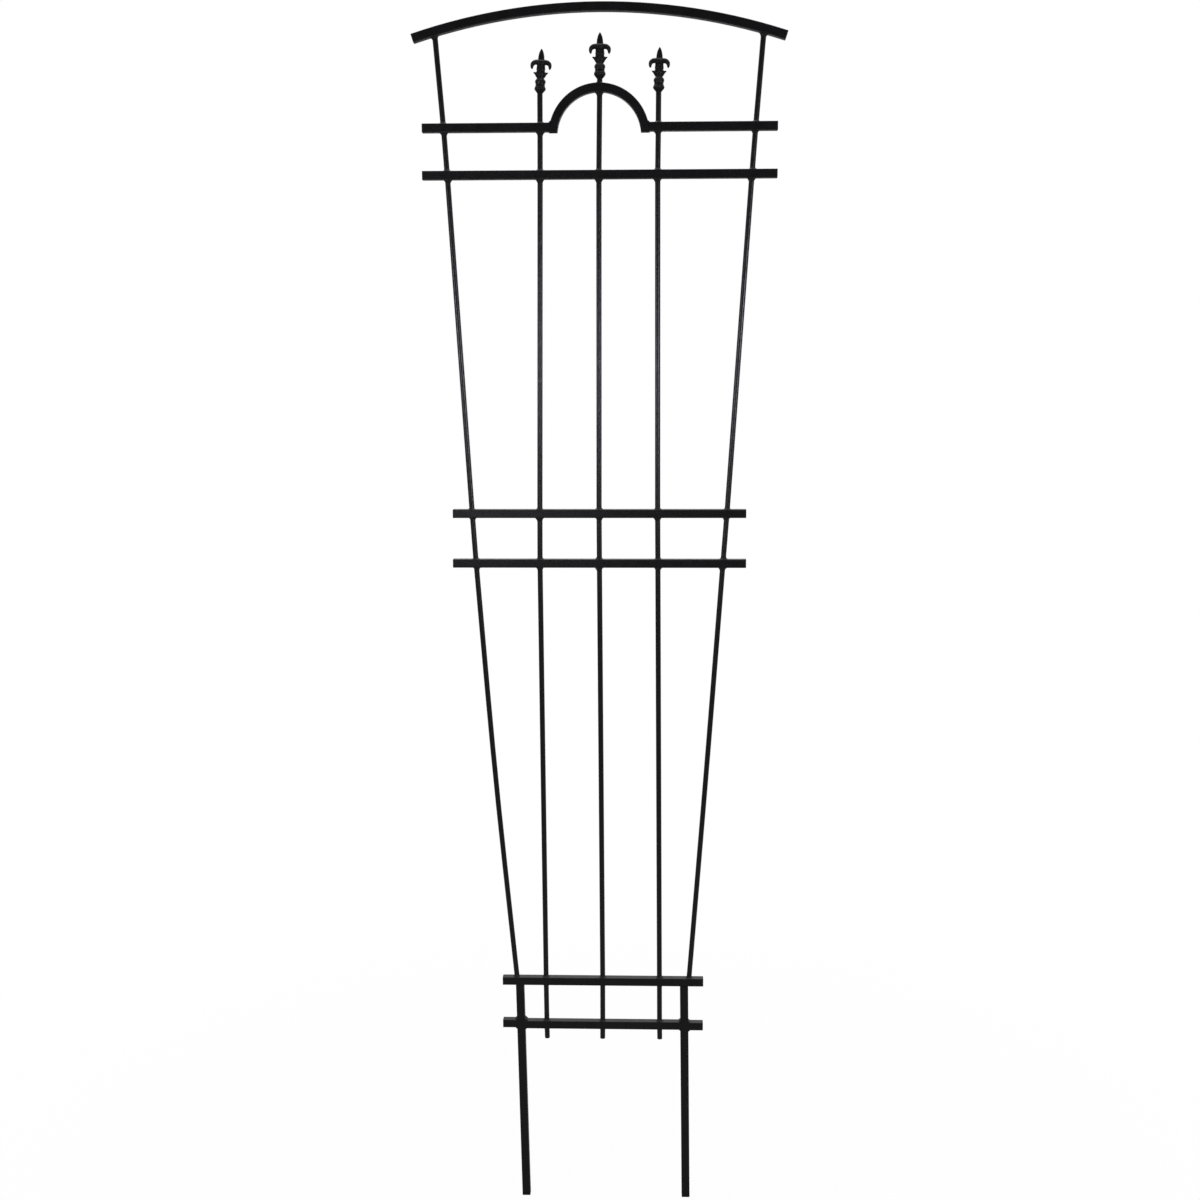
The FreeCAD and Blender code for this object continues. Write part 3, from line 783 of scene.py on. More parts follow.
@dataclass
class Welds:
    """Every weld: collars round the bars at each rail, and beads in the square corners."""

    finishes: Finishes
    bars: Bars
    ring_steps: int = 40
    face_steps: int = 14
    seed: int = 41
    reach: tuple[float, float] = (2.0 * MM, 2.6 * MM)     # outwards, above and below a rail
    rise: tuple[float, float] = (2.6 * MM, 4.4 * MM)      # along the bar, the same
    low_rails: float = 0.72           # size of the welds under the bottom rails, beside the rest
    half_depth: float = 5.95 * MM
    overlap: float = 0.28 * MM        # how far a CAD bead laps past its corner
    sunk: float = 0.9 * MM
    collar_ripples: float = 9.0
    bead_ripples: float = 3.5
    ripple_depth: float = 0.14 * MM
    lump_depth: float = 0.3 * MM
    lump_size: float = 3.2 * MM
    join: float = 0.012 * MM          # closes the seams of the bent sheets
    drops_each: int = 2               # spatter round each collar
    drop_radius: tuple[float, float] = (0.18 * MM, 0.42 * MM)
    drop_spread: float = 15.0 * MM

    def __post_init__(self) -> None:
        """Reads the tubes that the welds sit on."""
        self.tubes = cad_skin(TUBE_NODES)
        self.stakes = [CadShape(name) for name in ("left_stake", "right_stake")]

    def start(self, name: str) -> tuple[Maker, Value, Value, Value]:
        """Starts a weld tree: a sheet of faces laid on every point, for bending into shape.

        Args:
            name: The tree's name.

        Returns:
            The group, the sheets, and how far a point of a sheet is along it and over it.
        """
        group = Maker(name, {
            "Steps Round": self.ring_steps, "Steps Over": self.face_steps,
            "Bar Radius": self.bars.radius, "Sunk": self.sunk, "Half Depth": self.half_depth,
            "Ripples": self.collar_ripples, "Ripple Depth": self.ripple_depth,
            "Lump Size": self.lump_size, "Lump Depth": self.lump_depth})
        sheet = group.out("GeometryNodeMeshGrid", output="Mesh", named={
            "Size X": 1.0, "Size Y": 1.0,
            "Vertices X": group.math("ADD", group["Steps Round"], 1.0),
            "Vertices Y": group.math("ADD", group["Steps Over"], 1.0)})
        lap = group.vector("ADD", group.place(), (0.5, 0.5, 0.0))
        sheets = group.on_points(group.mark(sheet, "lap", lap, "FLOAT_VECTOR"))
        along, over, _ = group.split(*group.read("lap", kind="FLOAT_VECTOR"))
        return group, sheets, along, over

    def finish(self, group: Maker, sheets: Value, place: Value,
               crest: Value) -> bpy.types.NodeTree:
        """Ends a weld tree: bends the sheets, adds lumps, closes them and dresses them.

        Args:
            group: The tree's group.
            sheets: The sheets.
            place: Where each point of them goes.
            crest: From 0 at a weld's toes to 1 along its crest.

        Returns:
            The tree.
        """
        lump = group.noise(place, group["Lump Size"], 2.0, 0.5, *group.read("seed"))
        bent = group.moved(sheets, Position=place)
        # The relief is low at the toes, where the finish paints shade, and high on the crest,
        # which wears pale.
        raised = group.mark(bent, "relief", crest * 0.3 + lump * 0.7)
        joined = group.out("GeometryNodeMergeByDistance", named={
            "Geometry": raised, "Distance": self.join})
        turned = group.out("GeometryNodeFlipFaces", joined)
        swell = (lump - 0.45) * (group["Lump Depth"] * 2.0)
        lumpy = group.moved(turned, Offset=group.normal() * swell)
        x, y, z = group.split(group.place())
        limit = group["Half Depth"]
        kept = group.math("MINIMUM", group.math("MAXIMUM", y, limit * -1.0), limit)
        return group.dressed(group.moved(lumpy, Position=group.combine(x, kept, z)))

    def collar_tree(self) -> bpy.types.NodeTree:
        """A geometry tree that makes the ring of weld round a bar on a tube's face."""
        group, sheets, along, over = self.start("weld_collars")
        centre, axis = group.read("centre", "axis", kind="FLOAT_VECTOR")
        reach, rise, heavy, seed, tilt = group.read("reach", "rise", "heavy", "seed", "tilt")
        turn = along * (2 * math.pi)
        cosine, sine = group.math("COSINE", turn), group.math("SINE", turn)
        # Round the section: up the bar, down the open face, under the tube's skin, and back.
        out = group.profile(over, (
            (0.0, 0.0), (0.08, 0.2), (0.2, 0.27), (0.35, 0.42), (0.5, 0.64), (0.65, 0.93),
            (0.72, 1.0), (0.8, 0.96), (0.9, 0.0), (1.0, 0.0)))
        up = group.profile(over, (
            (0.0, 0.9), (0.08, 1.0), (0.2, 0.83), (0.35, 0.6), (0.5, 0.42), (0.65, 0.26),
            (0.72, 0.2), (0.8, 0.0), (0.9, 0.0), (1.0, 0.9)))
        crest = group.ramp(over, 0.08, 0.3) * group.ramp(over, 0.5, 0.72, 1.0, 0.0)
        # The heavy side is where the welder paused; ripples run round the open face.
        uneven = group.noise(group.combine(cosine, sine, 0.0), 1.6, 1.0, 0.5, seed)
        side = (uneven - 0.5) * 0.9 + (cosine * heavy * 0.22 + 1.0)
        ripple = group.math("SINE", turn * group["Ripples"] + over * 4.0)
        ripple = ripple * crest * group["Ripple Depth"]
        inside = 0.25     # the first quarter of the way out lies under the bar's skin
        outwards = (out - inside) * (reach * side / (1 - inside))
        ring = group["Bar Radius"] + outwards + ripple
        below = 0.2       # the lowest fifth of the height lies under the tube's skin
        height = (up - below) * (rise * side / (1 - below))
        height = height - group.math("LESS_THAN", up, 0.02) * group["Sunk"]
        height = ring * cosine * tilt + height
        axis_x, _, axis_z = group.split(axis)
        across = group.combine(axis_z, 0.0, axis_x * -1.0)
        spoke = across * cosine + group.combine(0.0, sine, 0.0)
        return self.finish(group, sheets, centre + axis * height + spoke * ring, crest)

    def bead_tree(self) -> bpy.types.NodeTree:
        """A geometry tree that makes a rippled bead along a square corner."""
        group, sheets, along, over = self.start("weld_beads")
        centre, *legs = group.read("centre", "leg_a", "leg_b", kind="FLOAT_VECTOR")
        reach, seed = group.read("reach", "seed")
        shift = along * 2.0 - 1.0
        # Round the section: along one leg's skin, over the open face, and back inside.
        parts = [group.profile(over, points) for points in (
            ((0.0, 0.0), (0.1, 0.96), (0.16, 1.0), (0.28, 0.93), (0.4, 0.8), (0.52, 0.63),
             (0.64, 0.45), (0.76, 0.28), (0.84, 0.2), (0.9, 0.0), (1.0, 0.0)),
            ((0.0, 0.0), (0.1, 0.0), (0.16, 0.2), (0.28, 0.3), (0.4, 0.47), (0.52, 0.65),
             (0.64, 0.82), (0.76, 0.95), (0.84, 1.0), (0.9, 0.96), (1.0, 0.0)))]
        crest = group.ramp(over, 0.14, 0.35) * group.ramp(over, 0.65, 0.86, 1.0, 0.0)
        # The bead is fullest in the middle and runs out round at both ends.
        end = group.math("POWER", group.math("ABSOLUTE", shift), 6.0)
        full = group.math("SQRT", group.math("MAXIMUM", 1.0 - end, 0.0))
        phase = crest * -0.22 + shift
        ripple = group.math("SINE", phase * (group["Ripples"] * math.pi))
        ripple = ripple * crest * group["Ripple Depth"]
        uneven = group.noise(group.combine(shift, 0.0, 0.0), 0.7, 1.0, 0.5, seed)
        size = reach * (full * (uneven * 0.7 + 0.68))
        inside = 0.2      # the first fifth of each leg lies under a tube's skin
        first, second = (leg * ((part - inside) * size + ripple * full)
                         for leg, part in zip(legs, parts))
        spread = group.combine(0.0, shift * group["Half Depth"], 0.0)
        return self.finish(group, sheets, centre + spread + (first + second), crest)

    def drop_tree(self) -> bpy.types.NodeTree:
        """A geometry tree that sets a flattened drop of spatter on every point."""
        group = Maker("weld_spatter", {"Flatness": 0.65, "Relief": 0.55})
        drop = group.out("GeometryNodeMeshIcoSphere", output="Mesh", named={
            "Radius": 1.0, "Subdivisions": 2})
        radius, = group.read("radius")
        size = group.combine(radius, radius * group["Flatness"], radius)
        return group.dressed(group.mark(group.on_points(drop, Scale=size), "relief",
                                        group["Relief"]))

    def drop_rows(self, collars: Sequence[dict[str, object]],
                  draws: random.Random) -> list[dict[str, object]]:
        """Places for spatter on the tubes' front and back faces, beside the collars.

        Args:
            collars: The collars' values.
            draws: The fixed source of chance.

        Returns:
            The values of each drop.
        """
        rows = []
        for collar in collars:
            centre, axis = collar["centre"], collar["axis"]
            for _ in range(self.drops_each):
                inwards = -math.copysign(draws.uniform(2.0, 10.0) * MM, axis.z)
                aside = draws.gauss(0.0, 1.0) * self.drop_spread / 2
                aside += math.copysign(2.0 * MM, aside)
                side = draws.choice((-1.0, 1.0))
                hit = self.tubes.ray_cast(
                    Vector((centre.x + aside, side * HALF_TUBE * 2, centre.z + inwards)),
                    Vector((0.0, -side, 0.0)))[0]
                if hit is not None and abs(abs(hit.y) - HALF_TUBE) < 0.05 * MM:
                    rows.append({"centre": hit, "radius": draws.uniform(*self.drop_radius)})
        return rows

    def face_under(self, x: float, z: float, away: float) -> tuple[float, float]:
        """The height and slope of the tube's face that a collar sits on.

        Args:
            x: The bar's middle.
            z: A height just clear of the tube.
            away: 1 if the collar is on top of the tube, -1 if below.

        Returns:
            The face's height at x, and its slope there.
        """
        spread = self.bars.radius + 1 * MM
        hits = [self.tubes.ray_cast(Vector((x + side * spread, 0.0, z)),
                                    Vector((0.0, 0.0, -away)), 30 * MM)[0]
                for side in (-1.0, 1.0)]
        heights = [hit.z for hit in hits if hit is not None]
        slope = (heights[1] - heights[0]) / (2 * spread) if len(heights) == 2 else 0.0
        return sum(heights) / len(heights), slope

    def collar_row(self, blob: Blob, line: CadShape, up: bool, size: float,
                   draws: random.Random) -> dict[str, object]:
        """The values of one collar.

        Args:
            blob: Its CAD lump.
            line: The bar that it goes round.
            up: True if it stands on top of a tube.
            size: How large it is beside the usual.
            draws: The fixed source of chance.

        Returns:
            The values by name.
        """
        away = 1.0 if up else -1.0

        def on_bar(z: float) -> Vector:
            """The bar's middle at a height, or at the nearest one that it reaches."""
            held = min(max(z, line.low.z + 1 * MM), line.high.z - 1 * MM)
            return Vector((line.middle_at(held), 0.0, held))

        edge = blob.high.z if up else blob.low.z
        face, slope = self.face_under(on_bar(edge).x, edge, away)
        near, far = on_bar(face + away * MM), on_bar(face + away * 9 * MM)
        axis = (far - near).normalized()
        if axis.z * away < 0 or axis.length < 0.5:
            axis = Vector((0.0, 0.0, away))
        place = 0 if up else 1
        size *= draws.uniform(0.84, 1.16)
        return {"centre": Vector((near.x, 0.0, face)), "axis": axis,
                "tilt": (slope * axis.z + axis.x) / (axis.z - slope * axis.x),
                "reach": self.reach[place] * size * draws.uniform(0.9, 1.1),
                "rise": self.rise[place] * size * draws.uniform(0.88, 1.12),
                "heavy": draws.uniform(-1.0, 1.0), "seed": draws.uniform(0.0, 90.0)}

    def bead_row(self, blob: Blob, away: float, up: bool,
                 draws: random.Random) -> dict[str, object]:
        """The values of one corner bead.

        Args:
            blob: Its CAD lump.
            away: The side that it opens to, -1 or 1.
            up: True if it opens upwards.
            draws: The fixed source of chance.

        Returns:
            The values by name.
        """
        corner = Vector((blob.low.x + self.overlap if away > 0 else blob.high.x - self.overlap,
                         0.0,
                         blob.low.z + self.overlap if up else blob.high.z - self.overlap))
        return {"centre": corner, "leg_a": Vector((away, 0.0, 0.0)),
                "leg_b": Vector((0.0, 0.0, 1.0 if up else -1.0)),
                "reach": (blob.high.z - blob.low.z) * draws.uniform(1.0, 1.25),
                "seed": draws.uniform(0.0, 90.0)}

    def bar_through(self, blob: Blob) -> CadShape | None:
        """The bar that a lump goes round, or None for a bead in a corner."""
        for bar in self.bars.lines.values():
            z = min(max(blob.middle.z, bar.low.z), bar.high.z - 1 * MM)
            if abs(z - blob.middle.z) < 8 * MM:
                x = bar.middle_at(z)
                if x is not None and blob.low.x < x < blob.high.x:
                    return bar
        return None

    def opens_to(self, blob: Blob, node: str) -> float:
        """The side that a corner bead opens to, -1 or 1."""
        if node == "hoop_welds":
            return math.copysign(1.0, blob.middle.x)
        z = min(blob.middle.z, self.stakes[0].high.z - 1 * MM)
        nearest = min((stake.middle_at(z) for stake in self.stakes),
                      key=lambda x: abs(x - blob.middle.x))
        return math.copysign(1.0, blob.middle.x - nearest)

    def rows(self, node: str, draws: random.Random) -> dict[str, list[dict[str, object]]]:
        """The values of everything that a weld node's piece is made of.

        Args:
            node: The CAD node.
            draws: The fixed source of chance.

        Returns:
            The rows of the collars, the beads and the drops.
        """
        low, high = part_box(node)
        # The arch's welds all hang below it, and the hoop's corner beads all open upwards.
        middle = {"arch_welds": high.z * 2, "hoop_welds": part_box("hoop")[1].z - HALF_TUBE}.get(
            node, (low.z + high.z) / 2)
        collars, beads = [], []
        for blob in Blob.of(node):
            line, up = self.bar_through(blob), blob.middle.z > middle
            if line:
                size = self.low_rails if node.startswith("bottom") and not up else 1.0
                collars.append(self.collar_row(blob, line, up, size, draws))
            else:
                beads.append(self.bead_row(blob, self.opens_to(blob, node),
                                           up or node == "hoop_welds", draws))
        return {"collars": collars, "beads": beads, "drops": self.drop_rows(collars, draws)}

    def build(self) -> None:
        """Makes one welded piece for each CAD weld node."""
        coat = self.finishes.by_slot["weld"]
        trees = {"collars": (self.collar_tree(), {"Ripples": self.collar_ripples}),
                 "beads": (self.bead_tree(), {"Ripples": self.bead_ripples}),
                 "drops": (self.drop_tree(), {})}
        draws = random.Random(self.seed)
        for node in sorted(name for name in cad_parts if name.endswith("_welds")):
            rows = self.rows(node, draws)
            shape = bmesh.new()
            for kind, (tree, values) in trees.items():
                if rows[kind]:
                    shape.from_mesh(run_tree(point_cloud(kind, rows[kind]), tree,
                                             {**values, "Finish": coat}, kind))
            mesh = mesh_of(shape, f"{node}_run")
            mesh.materials.append(coat)
            hand_over(object_from(mesh, mesh.name), "weld", node)


# ------------------------------------------------------------------ finials
Station = tuple[float, float, float, float]      # x, z, half width, half depth


@dataclass
class Finials:
    """The three cast spears: a turned stem, hooked leaves, curled petals and a ridged point.

    Sizes are in millimetres from the casting's narrow end, and x runs to its right.
    """

    finishes: Finishes
    tilt: dict[str, float] = field(default_factory=lambda: {
        "left_finial": 3.0, "center_finial": 0.5, "right_finial": 1.4})
    voxel: float = 0.37
    soften: int = 8                   # passes over the fused limbs
    grain: float = 0.06
    bosses: tuple[tuple[float, float, float], ...] = (      # y, z, radius
        (4.3, 43.6, 3.1), (5.4, 36.6, 1.5))
    flutes: tuple[tuple[float, float, int], ...] = (        # foot, height, count
        (2.5, 6.5, 16), (13.2, 6.4, 12))
    flute_depth: float = 0.24
    crease_depth: float = 0.5         # the line along each petal
    crease_width: float = 0.7
    rib_depth: float = 0.32           # two upright lines below the petals
    rib_width: float = 0.55
    rib_place: float = 2.4            # from the middle
    stem: tuple[tuple[float, float], ...] = (
        (4.6, 0.0), (5.4, 1.2), (6.6, 2.6), (7.8, 4.1), (8.45, 5.5), (8.5, 6.7), (7.9, 8.1),
        (7.25, 9.4), (6.95, 10.8), (6.95, 12.2), (7.2, 13.5), (7.75, 14.9), (8.0, 16.3),
        (7.7, 17.6), (6.8, 19.0), (5.85, 20.1), (5.4, 21.1), (5.6, 22.2), (6.2, 23.6),
        (6.8, 25.2), (7.0, 27.2), (6.85, 29.2), (6.4, 30.9), (6.3, 32.3), (6.7, 33.8),
        (6.4, 35.4), (6.3, 37.6), (6.0, 40.0), (5.6, 42.5), (5.0, 45.0), (4.4, 47.0))
    point: tuple[Station, ...] = (
        (0.0, 42.0, 5.0, 4.3), (0.0, 46.0, 4.95, 4.2), (0.0, 49.0, 4.8, 4.0),
        (0.0, 52.5, 4.45, 3.5), (0.0, 55.2, 3.95, 3.0), (0.0, 57.9, 3.2, 2.4),
        (0.0, 60.2, 2.25, 1.75), (0.0, 61.8, 1.4, 1.2), (0.0, 62.8, 0.75, 0.7),
        (0.0, 63.2, 0.2, 0.2))
    petal: tuple[Station, ...] = (
        (0.8, 42.4, 4.0, 4.6), (3.4, 43.4, 4.0, 4.9), (6.6, 43.8, 3.7, 4.8),
        (9.6, 43.3, 3.55, 4.4), (12.3, 41.3, 3.15, 3.8), (13.2, 38.6, 2.6, 3.1),
        (13.25, 36.2, 2.0, 2.4), (13.05, 34.4, 1.3, 1.6), (12.95, 33.5, 0.6, 0.8))
    leaf: tuple[Station, ...] = (
        (3.4, 24.4, 3.6, 4.6), (5.5, 26.5, 3.1, 3.8), (7.4, 27.7, 2.2, 2.9),
        (9.0, 28.4, 1.45, 2.0), (10.2, 29.0, 0.85, 1.2), (11.0, 29.7, 0.3, 0.4))

    def __post_init__(self) -> None:
        """Lays out the crease that runs along the middle of each petal."""
        self.crease = [(ax + (bx - ax) * t, az + (bz - az) * t) for (ax, az, *_), (bx, bz, *_)
                       in zip(self.petal[1:], self.petal[2:]) for t in (0, 0.25, 0.5, 0.75)]

    @staticmethod
    def eased(stations: Sequence[Station], steps: int = 6) -> list[Station]:
        """Stations joined by smooth curves through them.

        Args:
            stations: The given stations.
            steps: How many new ones go in each gap.

        Returns:
            The closer stations.
        """
        ends = [stations[0], *stations, stations[-1]]
        found = []
        for a, b, c, d in zip(ends, ends[1:], ends[2:], ends[3:]):
            for n in range(steps):
                t = n / steps
                found.append(tuple(
                    0.5 * (2 * q + (r - p) * t + (2 * p - 5 * q + 4 * r - s) * t * t
                           + (3 * q - p - 3 * r + s) * t ** 3)
                    for p, q, r, s in zip(a, b, c, d)))
        return [*found, tuple(stations[-1])]

    @staticmethod
    def sweep(shape: bmesh.types.BMesh, stations: Sequence[Station], mirror: float = 1.0,
              sides: int = 40, squareness: float = 2.0, turn: float = 0.0) -> None:
        """Adds a closed limb whose middle line lies in the upright plane.

        Args:
            shape: The mesh that it goes into.
            stations: Its stations, from root to tip.
            mirror: 1 for the right side, -1 for the left.
            sides: Points round each section.
            squareness: 2 for an oval section, near 1 for a diamond.
            turn: How far the limb is turned about the upright axis, in radians.
        """
        spin = Matrix.Rotation(turn, 3, "Z")
        rings = []
        for n, (x, z, wide, deep) in enumerate(stations):
            before, after = stations[max(n - 1, 0)], stations[min(n + 1, len(stations) - 1)]
            along = Vector((after[0] - before[0], 0.0, after[1] - before[1])).normalized()
            side = Vector((along.z, 0.0, -along.x))
            ring = []
            for k in range(sides):
                angle = 2 * math.pi * k / sides
                c, s = math.cos(angle), math.sin(angle)
                bulge = (abs(c) ** squareness + abs(s) ** squareness) ** (-1 / squareness)
                place = (Vector((x, 0.0, z)) + side * (wide * c * bulge)
                         + ACROSS * (deep * s * bulge))
                place.x *= mirror
                ring.append(shape.verts.new(spin @ place))
            rings.append(ring)
        for lower, upper in zip(rings, rings[1:]):
            for k in range(sides):
                shape.faces.new((lower[k], lower[(k + 1) % sides],
                                 upper[(k + 1) % sides], upper[k]))
        shape.faces.new(list(reversed(rings[0])))
        shape.faces.new(rings[-1])

    def rough_shape(self) -> bpy.types.Mesh:
        """All the casting's limbs, still overlapping, in millimetres.

        Returns:
            The mesh.
        """
        shape = bmesh.new()
        stem = [(0.0, z, r, r) for r, z in self.stem]
        self.sweep(shape, self.eased(stem), sides=56)
        self.sweep(shape, self.eased(self.point), squareness=1.35, sides=48)
        for mirror in (-1.0, 1.0):
            self.sweep(shape, self.eased(self.petal), mirror)
            self.sweep(shape, self.eased(self.leaf), mirror)
        for turn in (math.pi / 2, -math.pi / 2):
            small = [(x * 0.7, z - 0.6, w * 0.7, d * 0.8) for x, z, w, d in self.leaf]
            self.sweep(shape, self.eased(small), turn=turn)
        for side in (-1.0, 1.0):
            for y, z, radius in self.bosses:
                bmesh.ops.create_icosphere(shape, subdivisions=3, radius=radius,
                                           matrix=Matrix.Translation((0.0, side * y, z)))
        return mesh_of(shape, "spear_rough")

    def fused(self) -> bpy.types.Mesh:
        """The limbs made one skin with softened joins, as a casting has.

        Returns:
            The mesh.
        """
        carrier = object_from(self.rough_shape(), "spear_rough")
        skin = carrier.modifiers.new("skin", "REMESH")
        skin.mode, skin.voxel_size, skin.use_smooth_shade = "VOXEL", self.voxel, True
        soft = carrier.modifiers.new("soft", "SMOOTH")
        soft.factor, soft.iterations = 0.5, self.soften
        return plain_mesh(carrier, "spear")

    def groove(self, x: float, y: float, z: float) -> float:
        """How deep the pattern's cut lines go at a point, in millimetres.

        Args:
            x: Distance to the right of the middle.
            y: Distance behind the middle.
            z: Height.

        Returns:
            The depth, positive inwards.
        """
        depth = 0.0
        if z > 33 and abs(x) > 4.2:
            nearest = min(math.hypot(abs(x) - px, z - pz) for px, pz in self.crease)
            depth += self.crease_depth * math.exp(-(nearest / self.crease_width) ** 2)
        if 30.5 < z < 41:
            aside = (abs(x) - self.rib_place) / self.rib_width
            depth += self.rib_depth * math.exp(-aside ** 2)
        for foot, height, count in self.flutes:
            if foot < z < foot + height:
                turn = math.atan2(y, x)
                depth += (self.flute_depth * (0.5 - 0.5 * math.cos(count * turn))
                          * math.sin(math.pi * (z - foot) / height))
        return depth

    def build(self) -> None:
        """Makes each casting and hands it over."""
        base = self.fused()
        for number, (node, tilt) in enumerate(self.tilt.items()):
            mesh = base.copy()
            mesh.name = f"{node}_cast"
            self.chase(mesh, 31.0 * (number + 1))
            low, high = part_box(node)
            mesh.transform(Matrix.Rotation(math.radians(tilt), 4, "Y") @ Matrix.Scale(MM, 4))
            foot, top = box_of([vert.co for vert in mesh.vertices])
            fit = min(1.0, *((high[axis] - low[axis]) / (top[axis] - foot[axis])
                             for axis in (1, 2)))
            mesh.transform(Matrix.Translation((low + high) / 2) @ Matrix.Scale(fit, 4)
                           @ Matrix.Translation(-(foot + top) / 2))
            mesh.materials.clear()
            mesh.materials.append(self.finishes.by_slot["casting"])
            hand_over(object_from(mesh, f"{node}_cast"), "casting", node)
        bpy.data.meshes.remove(base)

    def chase(self, mesh: bpy.types.Mesh, seed: float) -> None:
        """Cuts the pattern's lines, roughens the skin like sand casting, and marks its relief.

        Args:
            mesh: The casting, in millimetres.
            seed: Which of many rough skins this one has.
        """
        shape = bmesh.new()
        shape.from_mesh(mesh)
        shape.normal_update()
        relief = shape.verts.layers.float.new("relief")
        for vert in shape.verts:
            place, normal = vert.co.copy(), vert.normal.copy()
            cut = self.groove(*place) * abs(normal.y) ** 0.5
            rough = noise.noise(place * 0.9 + Vector((seed, 0, 0))) * self.grain
            rough += noise.noise(place * 2.6 + Vector((0, seed, 0))) * self.grain * 0.45
            around = [edge.other_vert(vert).co for edge in vert.link_edges]
            bulge = (place - sum(around, Vector()) / len(around)).dot(normal)
            # Cut lines and hollows get low relief, which the finish darkens as painted shade;
            # what bulges gets high relief, which wears pale.
            vert[relief] = min(max(0.5 + bulge * 9.0 - cut * 0.9 + rough, 0.0), 1.0)
            vert.co = place + normal * (rough - cut)
        shape.to_mesh(mesh)
        shape.free()


# ------------------------------------------------------------------ studio
@dataclass(frozen=True)
class Softbox:
    """One soft studio light."""

    name: str
    place: tuple[float, float, float]
    aim: tuple[float, float, float]
    size: tuple[float, float]
    watts: float
    tint: tuple[float, float, float] = (1.0, 1.0, 1.0)

    def make(self) -> None:
        """Hangs the light."""
        light = bpy.data.lights.new(self.name, "AREA")
        light.shape, light.energy, light.color = "RECTANGLE", self.watts, self.tint
        light.size, light.size_y = self.size
        lamp = bpy.data.objects.new(self.name, light)
        lamp.location = self.place
        lamp.rotation_euler = (Vector(self.aim) - Vector(self.place)).to_track_quat(
            "-Z", "Y").to_euler()
        lamp.visible_camera = False
        bpy.context.scene.collection.objects.link(lamp)


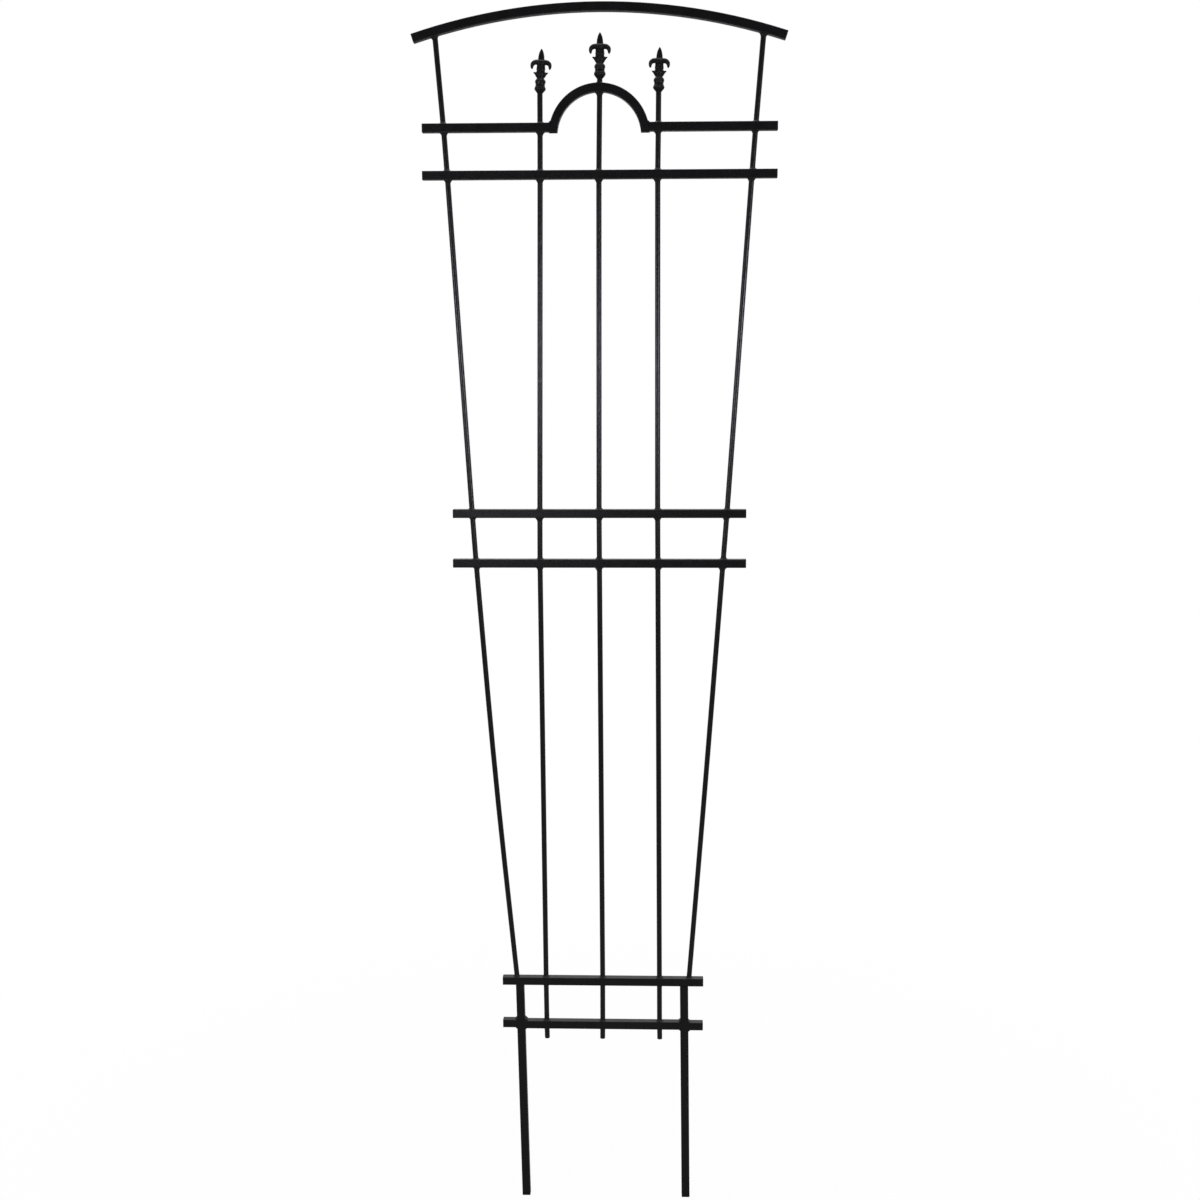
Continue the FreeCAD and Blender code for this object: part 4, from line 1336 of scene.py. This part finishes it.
@dataclass
class Studio:
    """A plain pale floor, soft light and the camera."""

    lens: float = 44.91
    place: tuple[float, float, float] = (0.06485, -2.2289, 1.333)
    yaw: float = -1.69
    pitch: float = 9.235
    roll: float = -0.178
    sensor: float = 36.0
    floor_size: float = 14.0
    floor_sides: int = 96
    front_light: float = 0.09
    back_light: float = 0.75
    softboxes: tuple[Softbox, ...] = (
        Softbox("right_box", (1.5, -1.45, 1.34), (0.0, 0.0, 1.34), (0.5, 0.25), 10.5,
                (0.97, 0.95, 1.15)),
        Softbox("left_box", (-1.45, -1.45, 1.34), (0.0, 0.0, 1.34), (0.5, 0.25), 6.5,
                (0.97, 0.95, 1.15)),
        Softbox("front_box", (-0.45, -2.3, 1.16), (-0.05, 0.0, 1.25), (0.45, 0.4), 2.2,
                (0.97, 0.98, 1.05)),
        Softbox("top_box", (0.0, 0.4, 3.2), (0.0, 0.1, 0.9), (2.4, 2.4), 30.0))

    def world(self) -> None:
        """A white surround, which lights the object more from behind than from the front."""
        world = bpy.data.worlds.new("surround")
        bpy.context.scene.world = world
        graph = emptied(world)
        way = graph.out("ShaderNodeTexCoord", output="Generated")
        level = graph.ramp(graph.split(way)[1], -0.35, 0.75, self.front_light, self.back_light)
        seen = graph.out("ShaderNodeLightPath", output="Is Camera Ray")
        strength = graph.math("MAXIMUM", level, seen)
        graph.add("ShaderNodeOutputWorld",
                  graph.out("ShaderNodeBackground", (1.0, 1.0, 1.0, 1.0), strength))

    def floor(self) -> None:
        """The floor: pale, with soft shadows near the feet and fading white further off."""
        shape = bmesh.new()
        bmesh.ops.create_circle(shape, cap_ends=True, segments=self.floor_sides,
                                radius=self.floor_size)
        mesh = mesh_of(shape, "floor")
        material = bpy.data.materials.new("pale_floor")
        graph = emptied(material)
        place = graph.out("ShaderNodeTexCoord", output="Object")
        away = graph.vector("LENGTH", place)
        # What the object's gloss picks up: a dim floor in front of it and a paler one behind.
        tone = graph.ramp(graph.split(place)[1], -0.15, 0.5)
        dim = graph.out("ShaderNodeBsdfDiffuse", graph.mix(tone, grey(0.36), grey(0.6)))
        matt = graph.out("ShaderNodeBsdfDiffuse", grey(0.85))
        glow = graph.out("ShaderNodeEmission", grey(1.0), 1.0)
        pale = graph.out("ShaderNodeMixShader", graph.ramp(away, 0.2, 1.5, 0.97, 1.0),
                         matt, glow)
        seen = graph.out("ShaderNodeLightPath", output="Is Camera Ray")
        both = graph.out("ShaderNodeMixShader", seen, dim, pale)
        graph.add("ShaderNodeOutputMaterial", both)
        mesh.materials.append(material)
        object_from(mesh, "floor")

    def camera(self) -> None:
        """The camera, a little above the middle and turned slightly to the left."""
        yaw, pitch, roll = (math.radians(a) for a in (self.yaw, self.pitch, self.roll))
        ahead = Vector((math.sin(yaw) * math.cos(pitch), math.cos(yaw) * math.cos(pitch),
                        -math.sin(pitch)))
        level = Vector((math.cos(yaw), -math.sin(yaw), 0.0))
        upright = level.cross(ahead)
        right = level * math.cos(roll) + upright * math.sin(roll)
        up = upright * math.cos(roll) - level * math.sin(roll)
        data = bpy.data.cameras.new("camera")
        data.lens, data.sensor_width = self.lens, self.sensor
        camera = bpy.data.objects.new("camera", data)
        camera.matrix_world = Matrix((
            (right.x, up.x, -ahead.x, self.place[0]),
            (right.y, up.y, -ahead.y, self.place[1]),
            (right.z, up.z, -ahead.z, self.place[2]), (0, 0, 0, 1)))
        bpy.context.scene.collection.objects.link(camera)
        bpy.context.scene.camera = camera

    def build(self) -> None:
        """Sets up everything round the object."""
        bpy.context.scene.view_settings.view_transform = "Standard"
        self.world()
        self.floor()
        for box in self.softboxes:
            box.make()
        self.camera()
        log.info("studio: %d softboxes", len(self.softboxes))


def main() -> None:
    """Builds the studio and every sub-assembly in order."""
    logging.basicConfig(level=logging.INFO, format="%(name)s: %(message)s")
    log.setLevel(logging.INFO)
    Studio().build()
    finishes = Finishes()
    finishes.dress(TUBE_NODES, "tube")
    finishes.dress(("rail_end_plugs",), "plug")
    bars = Bars(finishes)
    bars.build()
    Welds(finishes, bars).build()
    Finials(finishes).build()


if __name__ == "__main__":
    main()
